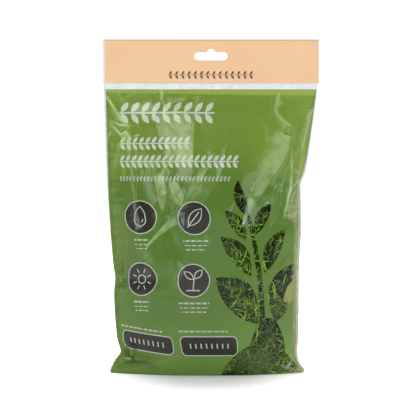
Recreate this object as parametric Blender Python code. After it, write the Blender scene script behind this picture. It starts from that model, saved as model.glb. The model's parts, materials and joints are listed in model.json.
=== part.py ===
"""A film header bag filled with preserved reindeer moss, standing on its base.

Run it with: blender --background --python part.py

Units are metres, +Z is up and the printed front of the bag faces -Y. The origin
lies under the middle of the bag, on the surface that it stands on. The film is
drawn thicker than a real bag film, so that each sheet of it is a solid.
"""

import math
import random

import bmesh
import bpy
from mathutils import Vector

# Driving sizes of the bag
FILM_WIDTH = 0.250
BAG_HEIGHT = 0.388
HEADER_BOTTOM = 0.338
SEAL_BOTTOM = 0.330
PANEL_BOTTOM = 0.0010
FILM = 0.0007
WELDED_FILM = 0.0009
SIDE_WELD_WIDTH = 0.0030
TOUCH_GAP = 0.0003

# The bag's two side seams: height, then x of the left and of the right seam
SEAMS = (
    (0.000, -0.1135, 0.1040),
    (0.004, -0.1155, 0.1070),
    (0.014, -0.1120, 0.1020),
    (0.026, -0.1045, 0.0997),
    (0.042, -0.1085, 0.1010),
    (0.095, -0.1118, 0.1015),
    (0.111, -0.1104, 0.1016),
    (0.125, -0.1124, 0.1019),
    (0.170, -0.1160, 0.1038),
    (0.218, -0.1187, 0.1035),
    (0.236, -0.1194, 0.1095),
    (0.268, -0.1207, 0.1149),
    (0.330, -0.1226, 0.1227),
)

# How far the filled film stands out from the plane of the seams, by height
BULGE = (
    (0.000, 0.0340),
    (0.020, 0.0400),
    (0.060, 0.0445),
    (0.110, 0.0460),
    (0.170, 0.0430),
    (0.220, 0.0350),
    (0.265, 0.0210),
    (0.300, 0.0085),
    (0.320, 0.0012),
    (0.330, 0.0000),
)
BULGE_POWER = 2.6
SEAM_STAND_OFF = 0.0010

# Panel grids: columns across, rows up, and how closely rows crowd at the base
FRONT_COLUMNS, FRONT_ROWS = 20, 22
BACK_COLUMNS, BACK_ROWS = 16, 18
ROW_CROWDING = 1.6
COLUMN_CROWDING = 0.35
SLOPE_STEP = 0.0005
PANEL_SHARP_ANGLE = math.radians(50.0)

# Hanging slot: a long round-ended slot with a small round rise in its middle
SLOT_WIDTH = 0.0389
SLOT_LOW, SLOT_HIGH, SLOT_PEAK = 0.3636, 0.3733, 0.3771
SLOT_RISE_WIDTH = 0.0080
SLOT_FLARE = 0.0016
SLOT_CUT_DEPTH = 0.0090
ARC_STEPS = 8

# Weld ribs across the top seal
SEAL_RIBS = 6
SEAL_RIB_RELIEF = 0.00015

# Moss clumps: centre x and z, half width and half height of each one's room, and the
# seed of its growth, picked so that no two of its strands cross
CLUMPS = (
    (-0.0715, 0.0395, 0.0345, 0.0380, 4111),
    (-0.0010, 0.0370, 0.0350, 0.0355, 4102),
    (0.0655, 0.0400, 0.0305, 0.0385, 4103),
    (-0.0700, 0.1165, 0.0360, 0.0380, 4104),
    (0.0010, 0.1120, 0.0340, 0.0385, 4105),
    (0.0675, 0.1180, 0.0315, 0.0385, 4126),
    (-0.0480, 0.1940, 0.0560, 0.0380, 4107),
    (0.0510, 0.1910, 0.0420, 0.0335, 4108),
)
CORE_SHARE = 0.30
CORE_UNEVENNESS = 0.12
MOSS_FILM_GAP = 0.0005
MOSS_ROOM_GAP = 0.0002
MOSS_FLOOR = 0.0012
STEEPEST_WALL = 0.2
PULL_STEPS = 100

# Strands: where along its reach each one forks, its thickness there, and its sway
FARTHEST_REACH = 2.2
FORK_START, FORK_END = 0.66, 0.75
STRAND_RADIUS = 0.0012
FORK_RADIUS = 0.0010
STRAND_SWAY = 0.035
TWIG_LENGTHS = (0.0070, 0.0120)
TWIG_SPLAY = 0.55
FULL_LENGTH_EVERY = 3
SHORTEST_STRAND = 0.88


def clear_scene():
    for thing in list(bpy.data.objects):
        bpy.data.objects.remove(thing, do_unlink=True)


def make_material(name, colour, roughness, metallic=0.0):
    material = bpy.data.materials.new(name)
    material.use_nodes = True
    shader = material.node_tree.nodes["Principled BSDF"]
    shader.inputs["Base Color"].default_value = (*colour, 1.0)
    shader.inputs["Roughness"].default_value = roughness
    shader.inputs["Metallic"].default_value = metallic
    material.diffuse_color = (*colour, 1.0)
    return material


def smooth_at(points, column, height):
    """Read one column of a height table on a smooth curve that never overshoots."""
    heights = [point[0] for point in points]
    values = [point[column] for point in points]
    height = min(max(height, heights[0]), heights[-1])
    last = len(points) - 1
    slopes = [
        (values[i + 1] - values[i]) / (heights[i + 1] - heights[i]) for i in range(last)
    ]
    index = 0
    while index < last - 1 and height > heights[index + 1]:
        index += 1

    def tangent(i):
        if i == 0:
            return slopes[0]
        if i == last:
            return slopes[-1]
        before, after = slopes[i - 1], slopes[i]
        if before * after <= 0.0:
            return 0.0
        return 2.0 * before * after / (before + after)

    span = heights[index + 1] - heights[index]
    s = (height - heights[index]) / span
    return (
        (2 * s**3 - 3 * s**2 + 1) * values[index]
        + (s**3 - 2 * s**2 + s) * span * tangent(index)
        + (3 * s**2 - 2 * s**3) * values[index + 1]
        + (s**3 - s**2) * span * tangent(index + 1)
    )


def seams_at(height):
    return smooth_at(SEAMS, 1, height), smooth_at(SEAMS, 2, height)


def panel_edges_at(height):
    """The x of the left and the right edge of a panel, inside the side welds."""
    left, right = seams_at(height)
    inset = SIDE_WELD_WIDTH + TOUCH_GAP
    return left + inset, right - inset


def stand_out(x, height):
    """Distance of the film's outer face from the plane of the seams."""
    left, right = panel_edges_at(height)
    across = (2.0 * x - left - right) / (right - left)
    across = min(abs(across), 1.0)
    bulge = smooth_at(BULGE, 1, height)
    return SEAM_STAND_OFF + bulge * (1.0 - across**BULGE_POWER)


def film_normal(x, height, side):
    """Unit vector that points out of the film; side is -1 at the front, 1 at the back."""
    left, right = panel_edges_at(height)
    x_low, x_high = max(x - SLOPE_STEP, left), min(x + SLOPE_STEP, right)
    z_low, z_high = max(height - SLOPE_STEP, 0.0), min(height + SLOPE_STEP, SEAL_BOTTOM)
    slope_x = (stand_out(x_high, height) - stand_out(x_low, height)) / (x_high - x_low)
    slope_z = (stand_out(x, z_high) - stand_out(x, z_low)) / (z_high - z_low)
    return Vector((-slope_x, side, -slope_z)).normalized()


def object_from(name, bm, material):
    bmesh.ops.recalc_face_normals(bm, faces=bm.faces[:])
    mesh = bpy.data.meshes.new(name)
    bm.to_mesh(mesh)
    bm.free()
    mesh.materials.append(material)
    thing = bpy.data.objects.new(name, mesh)
    bpy.context.scene.collection.objects.link(thing)
    return thing


def spread(count, crowding):
    """Places from -1 to 1, a little closer together towards both ends."""
    places = []
    for i in range(count + 1):
        even = 2.0 * i / count - 1.0
        eased = math.sin(even * math.pi / 2.0)
        places.append((1.0 - crowding) * even + crowding * eased)
    return places


def panel_heights(rows):
    top = SEAL_BOTTOM - TOUCH_GAP / 2.0
    rise = top - PANEL_BOTTOM
    return [PANEL_BOTTOM + rise * (i / rows) ** ROW_CROWDING for i in range(rows + 1)]


def make_panel(name, side, columns, rows, material):
    """One bulged sheet of film, with an outer face, an inner face and four edges."""
    bm = bmesh.new()
    outer, inner = [], []
    for height in panel_heights(rows):
        left, right = panel_edges_at(height)
        outer_row, inner_row = [], []
        for across in spread(columns, COLUMN_CROWDING):
            x = (left + right) / 2.0 + across * (right - left) / 2.0
            place = Vector((x, side * stand_out(x, height), height))
            outer_row.append(bm.verts.new(place))
            inner_row.append(bm.verts.new(place - FILM * film_normal(x, height, side)))
        outer.append(outer_row)
        inner.append(inner_row)
    for row in range(rows):
        for column in range(columns):
            for grid in (outer, inner):
                bm.faces.new((
                    grid[row][column],
                    grid[row][column + 1],
                    grid[row + 1][column + 1],
                    grid[row + 1][column],
                ))
    for row in range(rows):
        for column in (0, columns):
            bm.faces.new((
                outer[row][column],
                outer[row + 1][column],
                inner[row + 1][column],
                inner[row][column],
            ))
    for column in range(columns):
        for row in (0, rows):
            bm.faces.new((
                outer[row][column],
                outer[row][column + 1],
                inner[row][column + 1],
                inner[row][column],
            ))
    panel = object_from(name, bm, material)
    panel.data.shade_smooth()
    panel.data.set_sharp_from_angle(angle=PANEL_SHARP_ANGLE)
    return panel


def make_slab(name, outline, place, thickness, material):
    """A flat piece: an outline of (a, b) pairs, put in space by place(a, b, depth)."""
    bm = bmesh.new()
    faces = []
    for depth in (-thickness / 2.0, thickness / 2.0):
        faces.append([bm.verts.new(place(a, b, depth)) for a, b in outline])
    for ring in faces:
        bm.faces.new(ring)
    count = len(outline)
    for i in range(count):
        following = (i + 1) % count
        bm.faces.new((faces[0][i], faces[0][following], faces[1][following], faces[1][i]))
    return object_from(name, bm, material)


def upright(x, z, depth):
    return Vector((x, depth, z))


def make_side_weld(name, seam, material):
    """The strip where the front and the back film are welded, up one side."""
    inward = 1 if seam == 0 else -1
    heights = panel_heights(FRONT_ROWS)
    outside = [(seams_at(height)[seam], height) for height in heights]
    inside = [(x + inward * SIDE_WELD_WIDTH, height) for x, height in outside]
    bm = bmesh.new()
    rings = []
    for (x_out, height), (x_in, _) in zip(outside, inside):
        half = WELDED_FILM / 2.0
        corners = ((x_out, -half), (x_in, -half), (x_in, half), (x_out, half))
        rings.append([bm.verts.new((x, y, height)) for x, y in corners])
    for lower, upper in zip(rings, rings[1:]):
        for i in range(4):
            following = (i + 1) % 4
            bm.faces.new((lower[i], lower[following], upper[following], upper[i]))
    bm.faces.new(rings[0])
    bm.faces.new(rings[-1])
    return object_from(name, bm, material)


def make_base(material):
    """The flat base film, in the plan outline of the bag where it stands."""
    left, right = panel_edges_at(0.0)
    places = spread(FRONT_COLUMNS, COLUMN_CROWDING)
    xs = [(left + right) / 2.0 + across * (right - left) / 2.0 for across in places]
    front = [(x, -stand_out(x, 0.0)) for x in xs]
    back = [(x, stand_out(x, 0.0)) for x in reversed(xs)]

    def lying(x, y, depth):
        return Vector((x, y, FILM / 2.0 + depth))

    return make_slab("base_film", front + back, lying, FILM, material)


def make_top_seal(material):
    """The weld across the bag's mouth, with a row of shallow ribs on both faces."""
    bottom = SEAL_BOTTOM + TOUCH_GAP / 2.0
    top = HEADER_BOTTOM - TOUCH_GAP / 2.0
    steps = 2 * SEAL_RIBS
    face = []
    for i in range(steps + 1):
        relief = SEAL_RIB_RELIEF if i % 2 else 0.0
        face.append((WELDED_FILM / 2.0 + relief, bottom + (top - bottom) * i / steps))
    outline = face + [(-y, z) for y, z in reversed(face)]
    left, right = seams_at(SEAL_BOTTOM)
    middle = (left + right) / 2.0

    def along(y, z, depth):
        return Vector((middle + depth, y, z))

    return make_slab("top_seal", outline, along, right - left, material)


def slot_outline():
    """The slot: round ends, flat bottom, and a round rise between two flared shoulders."""

    def half_round(centre_x, centre_z, radius_x, radius_z, first_angle):
        angles = [first_angle + math.pi * i / ARC_STEPS for i in range(ARC_STEPS + 1)]
        return [
            (centre_x + radius_x * math.cos(angle), centre_z + radius_z * math.sin(angle))
            for angle in angles
        ]

    end_radius = (SLOT_HIGH - SLOT_LOW) / 2.0
    middle_z = (SLOT_HIGH + SLOT_LOW) / 2.0
    end_x = SLOT_WIDTH / 2.0 - end_radius
    half_rise = SLOT_RISE_WIDTH / 2.0
    shoulder_x = half_rise + SLOT_FLARE
    rise_start = SLOT_HIGH + SLOT_FLARE
    return [
        *half_round(end_x, middle_z, end_radius, end_radius, -math.pi / 2.0),
        (shoulder_x, SLOT_HIGH),
        *half_round(0.0, rise_start, half_rise, SLOT_PEAK - rise_start, 0.0),
        (-shoulder_x, SLOT_HIGH),
        *half_round(-end_x, middle_z, end_radius, end_radius, math.pi / 2.0),
    ]


def make_header(material):
    """The printed head of the bag, two plies welded flat, with its hanging slot."""
    half = FILM_WIDTH / 2.0
    bottom = HEADER_BOTTOM + TOUCH_GAP / 2.0
    outline = [(-half, bottom), (half, bottom), (half, BAG_HEIGHT), (-half, BAG_HEIGHT)]
    header = make_slab("hang_header", outline, upright, WELDED_FILM, material)
    cutter = make_slab("slot_cutter", slot_outline(), upright, SLOT_CUT_DEPTH, material)
    cut = header.modifiers.new("hanging slot", "BOOLEAN")
    cut.operation = "DIFFERENCE"
    cut.solver = "EXACT"
    cut.object = cutter
    apply_modifiers(header)
    bpy.data.objects.remove(cutter, do_unlink=True)
    return header


def apply_modifiers(thing):
    bpy.context.view_layer.update()
    graph = bpy.context.evaluated_depsgraph_get()
    mesh = bpy.data.meshes.new_from_object(thing.evaluated_get(graph), depsgraph=graph)
    thing.modifiers.clear()
    thing.data = mesh


def inner_wall(x, height, clearance):
    """Half the room between the front and back film, measured along Y."""
    normal = film_normal(x, height, 1)
    return stand_out(x, height) - (FILM + clearance) / max(normal.y, STEEPEST_WALL)


def inside_room(point, room, radius):
    """True where a strand of this radius stays in its clump's room and in the bag."""
    centre_x, centre_z, half_width, half_height = room
    margin = MOSS_ROOM_GAP + radius
    if abs(point.x - centre_x) > half_width - margin:
        return False
    if abs(point.z - centre_z) > half_height - margin:
        return False
    if point.z < MOSS_FLOOR + radius:
        return False
    return abs(point.y) < inner_wall(point.x, point.z, MOSS_FILM_GAP + radius)


def pulled_inside(point, centre, room, radius):
    """Draw a point towards the clump's centre until the strand there is inside."""
    for step in range(PULL_STEPS):
        candidate = point.lerp(centre, step / PULL_STEPS)
        if inside_room(candidate, room, radius):
            return candidate
    return centre.copy()


def random_direction(draw):
    return Vector((draw.gauss(0, 1), draw.gauss(0, 1), draw.gauss(0, 1))).normalized()


def next_ring(bm, ring, place, radius):
    """Grow a strand's ring of three points on to a new place; returns it and its walls."""
    middle = sum((vert.co for vert in ring), Vector()) / len(ring)
    ahead = (place - middle).normalized()
    grown = []
    for vert in ring:
        beside = vert.co - middle
        beside -= ahead * beside.dot(ahead)
        grown.append(bm.verts.new(place + radius * beside.normalized()))
    walls = []
    for i in range(len(ring)):
        following = (i + 1) % len(ring)
        walls.append(bm.faces.new((ring[i], ring[following], grown[following], grown[i])))
    return grown, walls


def close_to_point(bm, ring, place):
    """End a ring of points in one sharp tip."""
    tip = bm.verts.new(place)
    for i in range(len(ring)):
        bm.faces.new((ring[i], ring[(i + 1) % len(ring)], tip))


def grow_twig(bm, wall, draw, keep_inside):
    """Draw one wall of a fork out into a side twig, up and away from its strand."""
    corners = list(wall.verts)
    start = wall.calc_center_median()
    outward = wall.normal.copy()
    upward = (corners[2].co + corners[3].co - corners[0].co - corners[1].co).normalized()
    bm.faces.remove(wall)
    heading = (upward + TWIG_SPLAY * outward).normalized()
    end = keep_inside(start + heading * draw.uniform(*TWIG_LENGTHS))
    close_to_point(bm, corners, end)


def make_clump(number, room, seed, material):
    """One moss clump: forked strands that grow from every face of a small core."""
    draw = random.Random(seed)
    centre_x, centre_z, half_width, half_height = room
    centre = Vector((centre_x, 0.0, centre_z))
    half_depth = inner_wall(centre_x, centre_z, MOSS_FILM_GAP)

    def keep_inside(point):
        return pulled_inside(point, centre, room, 0.0)

    bm = bmesh.new()
    bmesh.ops.create_icosphere(bm, subdivisions=2, radius=CORE_SHARE)
    for vert in bm.verts:
        swell = 1.0 + draw.uniform(-CORE_UNEVENNESS, CORE_UNEVENNESS)
        vert.co = centre + swell * Vector((
            vert.co.x * half_width,
            vert.co.y * half_depth,
            vert.co.z * half_height,
        ))
    for i, face in enumerate(list(bm.faces)):
        ring = list(face.verts)
        outward = (face.calc_center_median() - centre) * FARTHEST_REACH / CORE_SHARE
        bm.faces.remove(face)
        reach = keep_inside(centre + outward) - centre
        sway = random_direction(draw) * reach.length * STRAND_SWAY
        ring, _ = next_ring(bm, ring, centre + reach * FORK_START + sway, STRAND_RADIUS)
        ring, walls = next_ring(bm, ring, centre + reach * FORK_END + sway, FORK_RADIUS)
        length = 1.0 if i % FULL_LENGTH_EVERY == 0 else draw.uniform(SHORTEST_STRAND, 1.0)
        close_to_point(bm, ring, centre + reach * length)
        first = draw.randrange(3)
        for wall in [walls[first], walls[(first + 1) % 3]][: 1 + i % 2]:
            wall.normal_update()
            grow_twig(bm, wall, draw, keep_inside)
    return object_from(f"moss_clump_{number:02d}", bm, material)


def build():
    clear_scene()
    printed_green = make_material("printed green film", (0.155, 0.266, 0.043), 0.30)
    back_green = make_material("plain green film", (0.130, 0.235, 0.040), 0.32)
    header_print = make_material("peach printed film", (0.890, 0.597, 0.359), 0.38)
    clear_weld = make_material("clear welded film", (0.770, 0.820, 0.850), 0.22)
    moss_green = make_material("dyed reindeer moss", (0.110, 0.230, 0.040), 0.90)

    make_header(header_print)
    make_top_seal(clear_weld)
    make_panel("front_film", -1, FRONT_COLUMNS, FRONT_ROWS, printed_green)
    make_panel("back_film", 1, BACK_COLUMNS, BACK_ROWS, back_green)
    make_side_weld("side_weld_left", 0, clear_weld)
    make_side_weld("side_weld_right", 1, clear_weld)
    make_base(printed_green)
    for number, (*room, seed) in enumerate(CLUMPS, start=1):
        make_clump(number, room, seed, moss_green)


build()
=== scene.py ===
# %% [markdown]
# # A film bag of reindeer moss
# The object is a flat-headed film bag that stands on its base, full of dyed reindeer moss. Its
# imported model gives the sizes and the place of every piece. This lesson replaces each plain solid
# by the real thing: thin creased film with ink behind its gloss, clear welds, and moss that is
# grown twig by twig. We load the imported model first.

# %% Load the imported bag
import json
import math
import random

import bmesh
import bpy
import numpy as np
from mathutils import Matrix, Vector
from mathutils.geometry import delaunay_2d_cdt

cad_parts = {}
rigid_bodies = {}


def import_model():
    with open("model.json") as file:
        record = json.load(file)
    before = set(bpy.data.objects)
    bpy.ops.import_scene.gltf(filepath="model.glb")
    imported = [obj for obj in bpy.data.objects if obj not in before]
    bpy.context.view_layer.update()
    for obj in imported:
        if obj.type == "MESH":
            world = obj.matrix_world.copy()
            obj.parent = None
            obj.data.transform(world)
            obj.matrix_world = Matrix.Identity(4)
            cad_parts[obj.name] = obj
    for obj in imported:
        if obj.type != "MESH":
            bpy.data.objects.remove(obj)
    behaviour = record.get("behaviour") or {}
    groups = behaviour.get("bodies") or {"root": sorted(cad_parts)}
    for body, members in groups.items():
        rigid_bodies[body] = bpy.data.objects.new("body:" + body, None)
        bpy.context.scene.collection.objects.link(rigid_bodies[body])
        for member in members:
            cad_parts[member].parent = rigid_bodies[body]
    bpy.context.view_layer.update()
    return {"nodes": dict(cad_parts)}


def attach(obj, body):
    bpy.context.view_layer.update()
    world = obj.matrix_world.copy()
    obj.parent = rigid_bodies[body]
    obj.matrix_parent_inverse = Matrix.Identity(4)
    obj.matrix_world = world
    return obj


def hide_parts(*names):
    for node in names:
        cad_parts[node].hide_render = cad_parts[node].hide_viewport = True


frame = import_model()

print("packed nodes:", ", ".join(sorted(frame["nodes"])))

# %% [markdown]
# ## The rule that shapes the bag
# A filled film bag is two equal sheets, welded at their sides and pushed apart by what is inside.
# Two small tables are enough to describe it: where the side seams are at each height, and how far
# the film stands out in the middle. Between the rows we read them on a smooth curve that never
# overshoots. The functions work on whole arrays, so a sheet of a hundred thousand points takes a
# moment.

# %% Seams and bulge by height
MM = 0.001
# Height, then x of the left and of the right seam
SEAMS = (
    (0.000, -0.1135, 0.1040), (0.004, -0.1155, 0.1070), (0.014, -0.1120, 0.1020),
    (0.026, -0.1045, 0.0997), (0.042, -0.1085, 0.1010), (0.095, -0.1118, 0.1015),
    (0.111, -0.1104, 0.1016), (0.125, -0.1124, 0.1019), (0.170, -0.1160, 0.1038),
    (0.218, -0.1187, 0.1035), (0.236, -0.1194, 0.1095), (0.268, -0.1207, 0.1149),
    (0.330, -0.1226, 0.1227),
)
# Height, then how far the film stands out in the middle
BULGE = (
    (0.000, 0.0340), (0.020, 0.0400), (0.060, 0.0445), (0.110, 0.0460), (0.170, 0.0430),
    (0.220, 0.0350), (0.265, 0.0210), (0.300, 0.0085), (0.320, 0.0012), (0.330, 0.0000),
)
BULGE_POWER = 2.6
DEEPEST_HEIGHT = 0.11
SEAM_STAND_OFF = 0.0010
SIDE_WELD_WIDTH = 0.0033
SLOPE_HEIGHTS = (0.001, 0.3295)
SLOPE_STEP = 0.0005


def read_table(table, column, height):
    """One column of a height table, read on a smooth curve."""
    knots = np.array([row[0] for row in table])
    values = np.array([row[column] for row in table])
    steps = np.diff(knots)
    slopes = np.diff(values) / steps
    tangents = np.empty_like(values)
    tangents[0], tangents[-1] = slopes[0], slopes[-1]
    product, total = slopes[:-1] * slopes[1:], slopes[:-1] + slopes[1:]
    tangents[1:-1] = np.where(product > 0, 2 * product / np.where(total == 0, 1, total), 0)
    height = np.clip(height, knots[0], knots[-1])
    i = np.clip(np.searchsorted(knots, height, side="right") - 1, 0, len(steps) - 1)
    s = (height - knots[i]) / steps[i]
    return (
        (2 * s**3 - 3 * s**2 + 1) * values[i]
        + (s**3 - 2 * s**2 + s) * steps[i] * tangents[i]
        + (3 * s**2 - 2 * s**3) * values[i + 1]
        + (s**3 - s**2) * steps[i] * tangents[i + 1]
    )


def seams_at(height):
    """x of the left and of the right side seam."""
    return read_table(SEAMS, 1, height), read_table(SEAMS, 2, height)


def panel_edges_at(height):
    """Where the side welds end and the free film begins."""
    left, right = seams_at(height)
    return left + SIDE_WELD_WIDTH, right - SIDE_WELD_WIDTH


def stand_out(x, height):
    """How far the film stands out from the plane of the seams."""
    left, right = panel_edges_at(height)
    across = np.minimum(np.abs((2 * x - left - right) / (right - left)), 1.0)
    return SEAM_STAND_OFF + read_table(BULGE, 1, height) * (1 - across**BULGE_POWER)


def slopes_at(x, height, step=SLOPE_STEP):
    """Slope of the bare film across and upwards, and the length of its unscaled normal."""
    height = np.clip(height, *SLOPE_HEIGHTS)
    across = (stand_out(x + step, height) - stand_out(x - step, height)) / (2 * step)
    upwards = (stand_out(x, height + step) - stand_out(x, height - step)) / (2 * step)
    return across, upwards, np.sqrt(across**2 + upwards**2 + 1)


print("deepest point of the bag: %.1f mm" % (2 * stand_out(0.0, DEEPEST_HEIGHT) / MM))

# %% [markdown]
# ## Creases
# Thin film doesn't stretch, so where the filling bends it two ways it buckles into sharp crests
# with nearly flat sides. It could be simulated as cloth, but stiff film on a pillow of moss gives
# few creases in places that we can't choose. Instead each crease is written down as a spine with a
# height at every corner, how steeply its two sides fall, and how sharp its crest is. Film folds into
# flat facets, and a facet is bright when its slope turns a lamp towards the eye, so the slopes are
# what counts. Small random creases fill the rest. Lengths are in millimetres, seen from the front.

# %% A crease and a field of creases
LEAST_REACH = 0.2


def from_stretch(x, z, start, end):
    """The nearest place on a straight stretch, as a share of it, the way from there, and the side."""
    run_x, run_z = end[0] - start[0], end[1] - start[1]
    share = np.clip(((x - start[0]) * run_x + (z - start[1]) * run_z) / (run_x**2 + run_z**2), 0, 1)
    off_x, off_z = x - start[0] - share * run_x, z - start[1] - share * run_z
    return share, off_x, off_z, run_x * off_z - run_z * off_x > 0


def crease(x, z, spine, left, right, sharp):
    """Height of one crease at every point: a crest along its spine, falling off on both sides."""
    rise = np.zeros_like(x)
    for start, end in zip(spine, spine[1:]):
        share, off_x, off_z, on_left = from_stretch(x, z, start, end)
        height = start[2] + (end[2] - start[2]) * share
        reach = np.maximum(np.abs(height) / np.where(on_left, left, right), LEAST_REACH)
        here = height * np.clip(1 - np.hypot(off_x, off_z) / reach, 0, 1) ** sharp
        rise = np.where(np.abs(here) > np.abs(rise), here, rise)
    return rise


def crease_field(x, z, creases):
    """Sum of many creases; each is worked out only near its own spine."""
    total = np.zeros_like(x)
    for spine, left, right, sharp in creases:
        margin = max(abs(p[2]) for p in spine) / min(left, right)
        xs, zs = [p[0] for p in spine], [p[1] for p in spine]
        near = (x > min(xs) - margin) & (x < max(xs) + margin)
        near &= (z > min(zs) - margin) & (z < max(zs) + margin)
        if near.any():
            total[near] += crease(x[near], z[near], spine, left, right, sharp)
    return total
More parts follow.
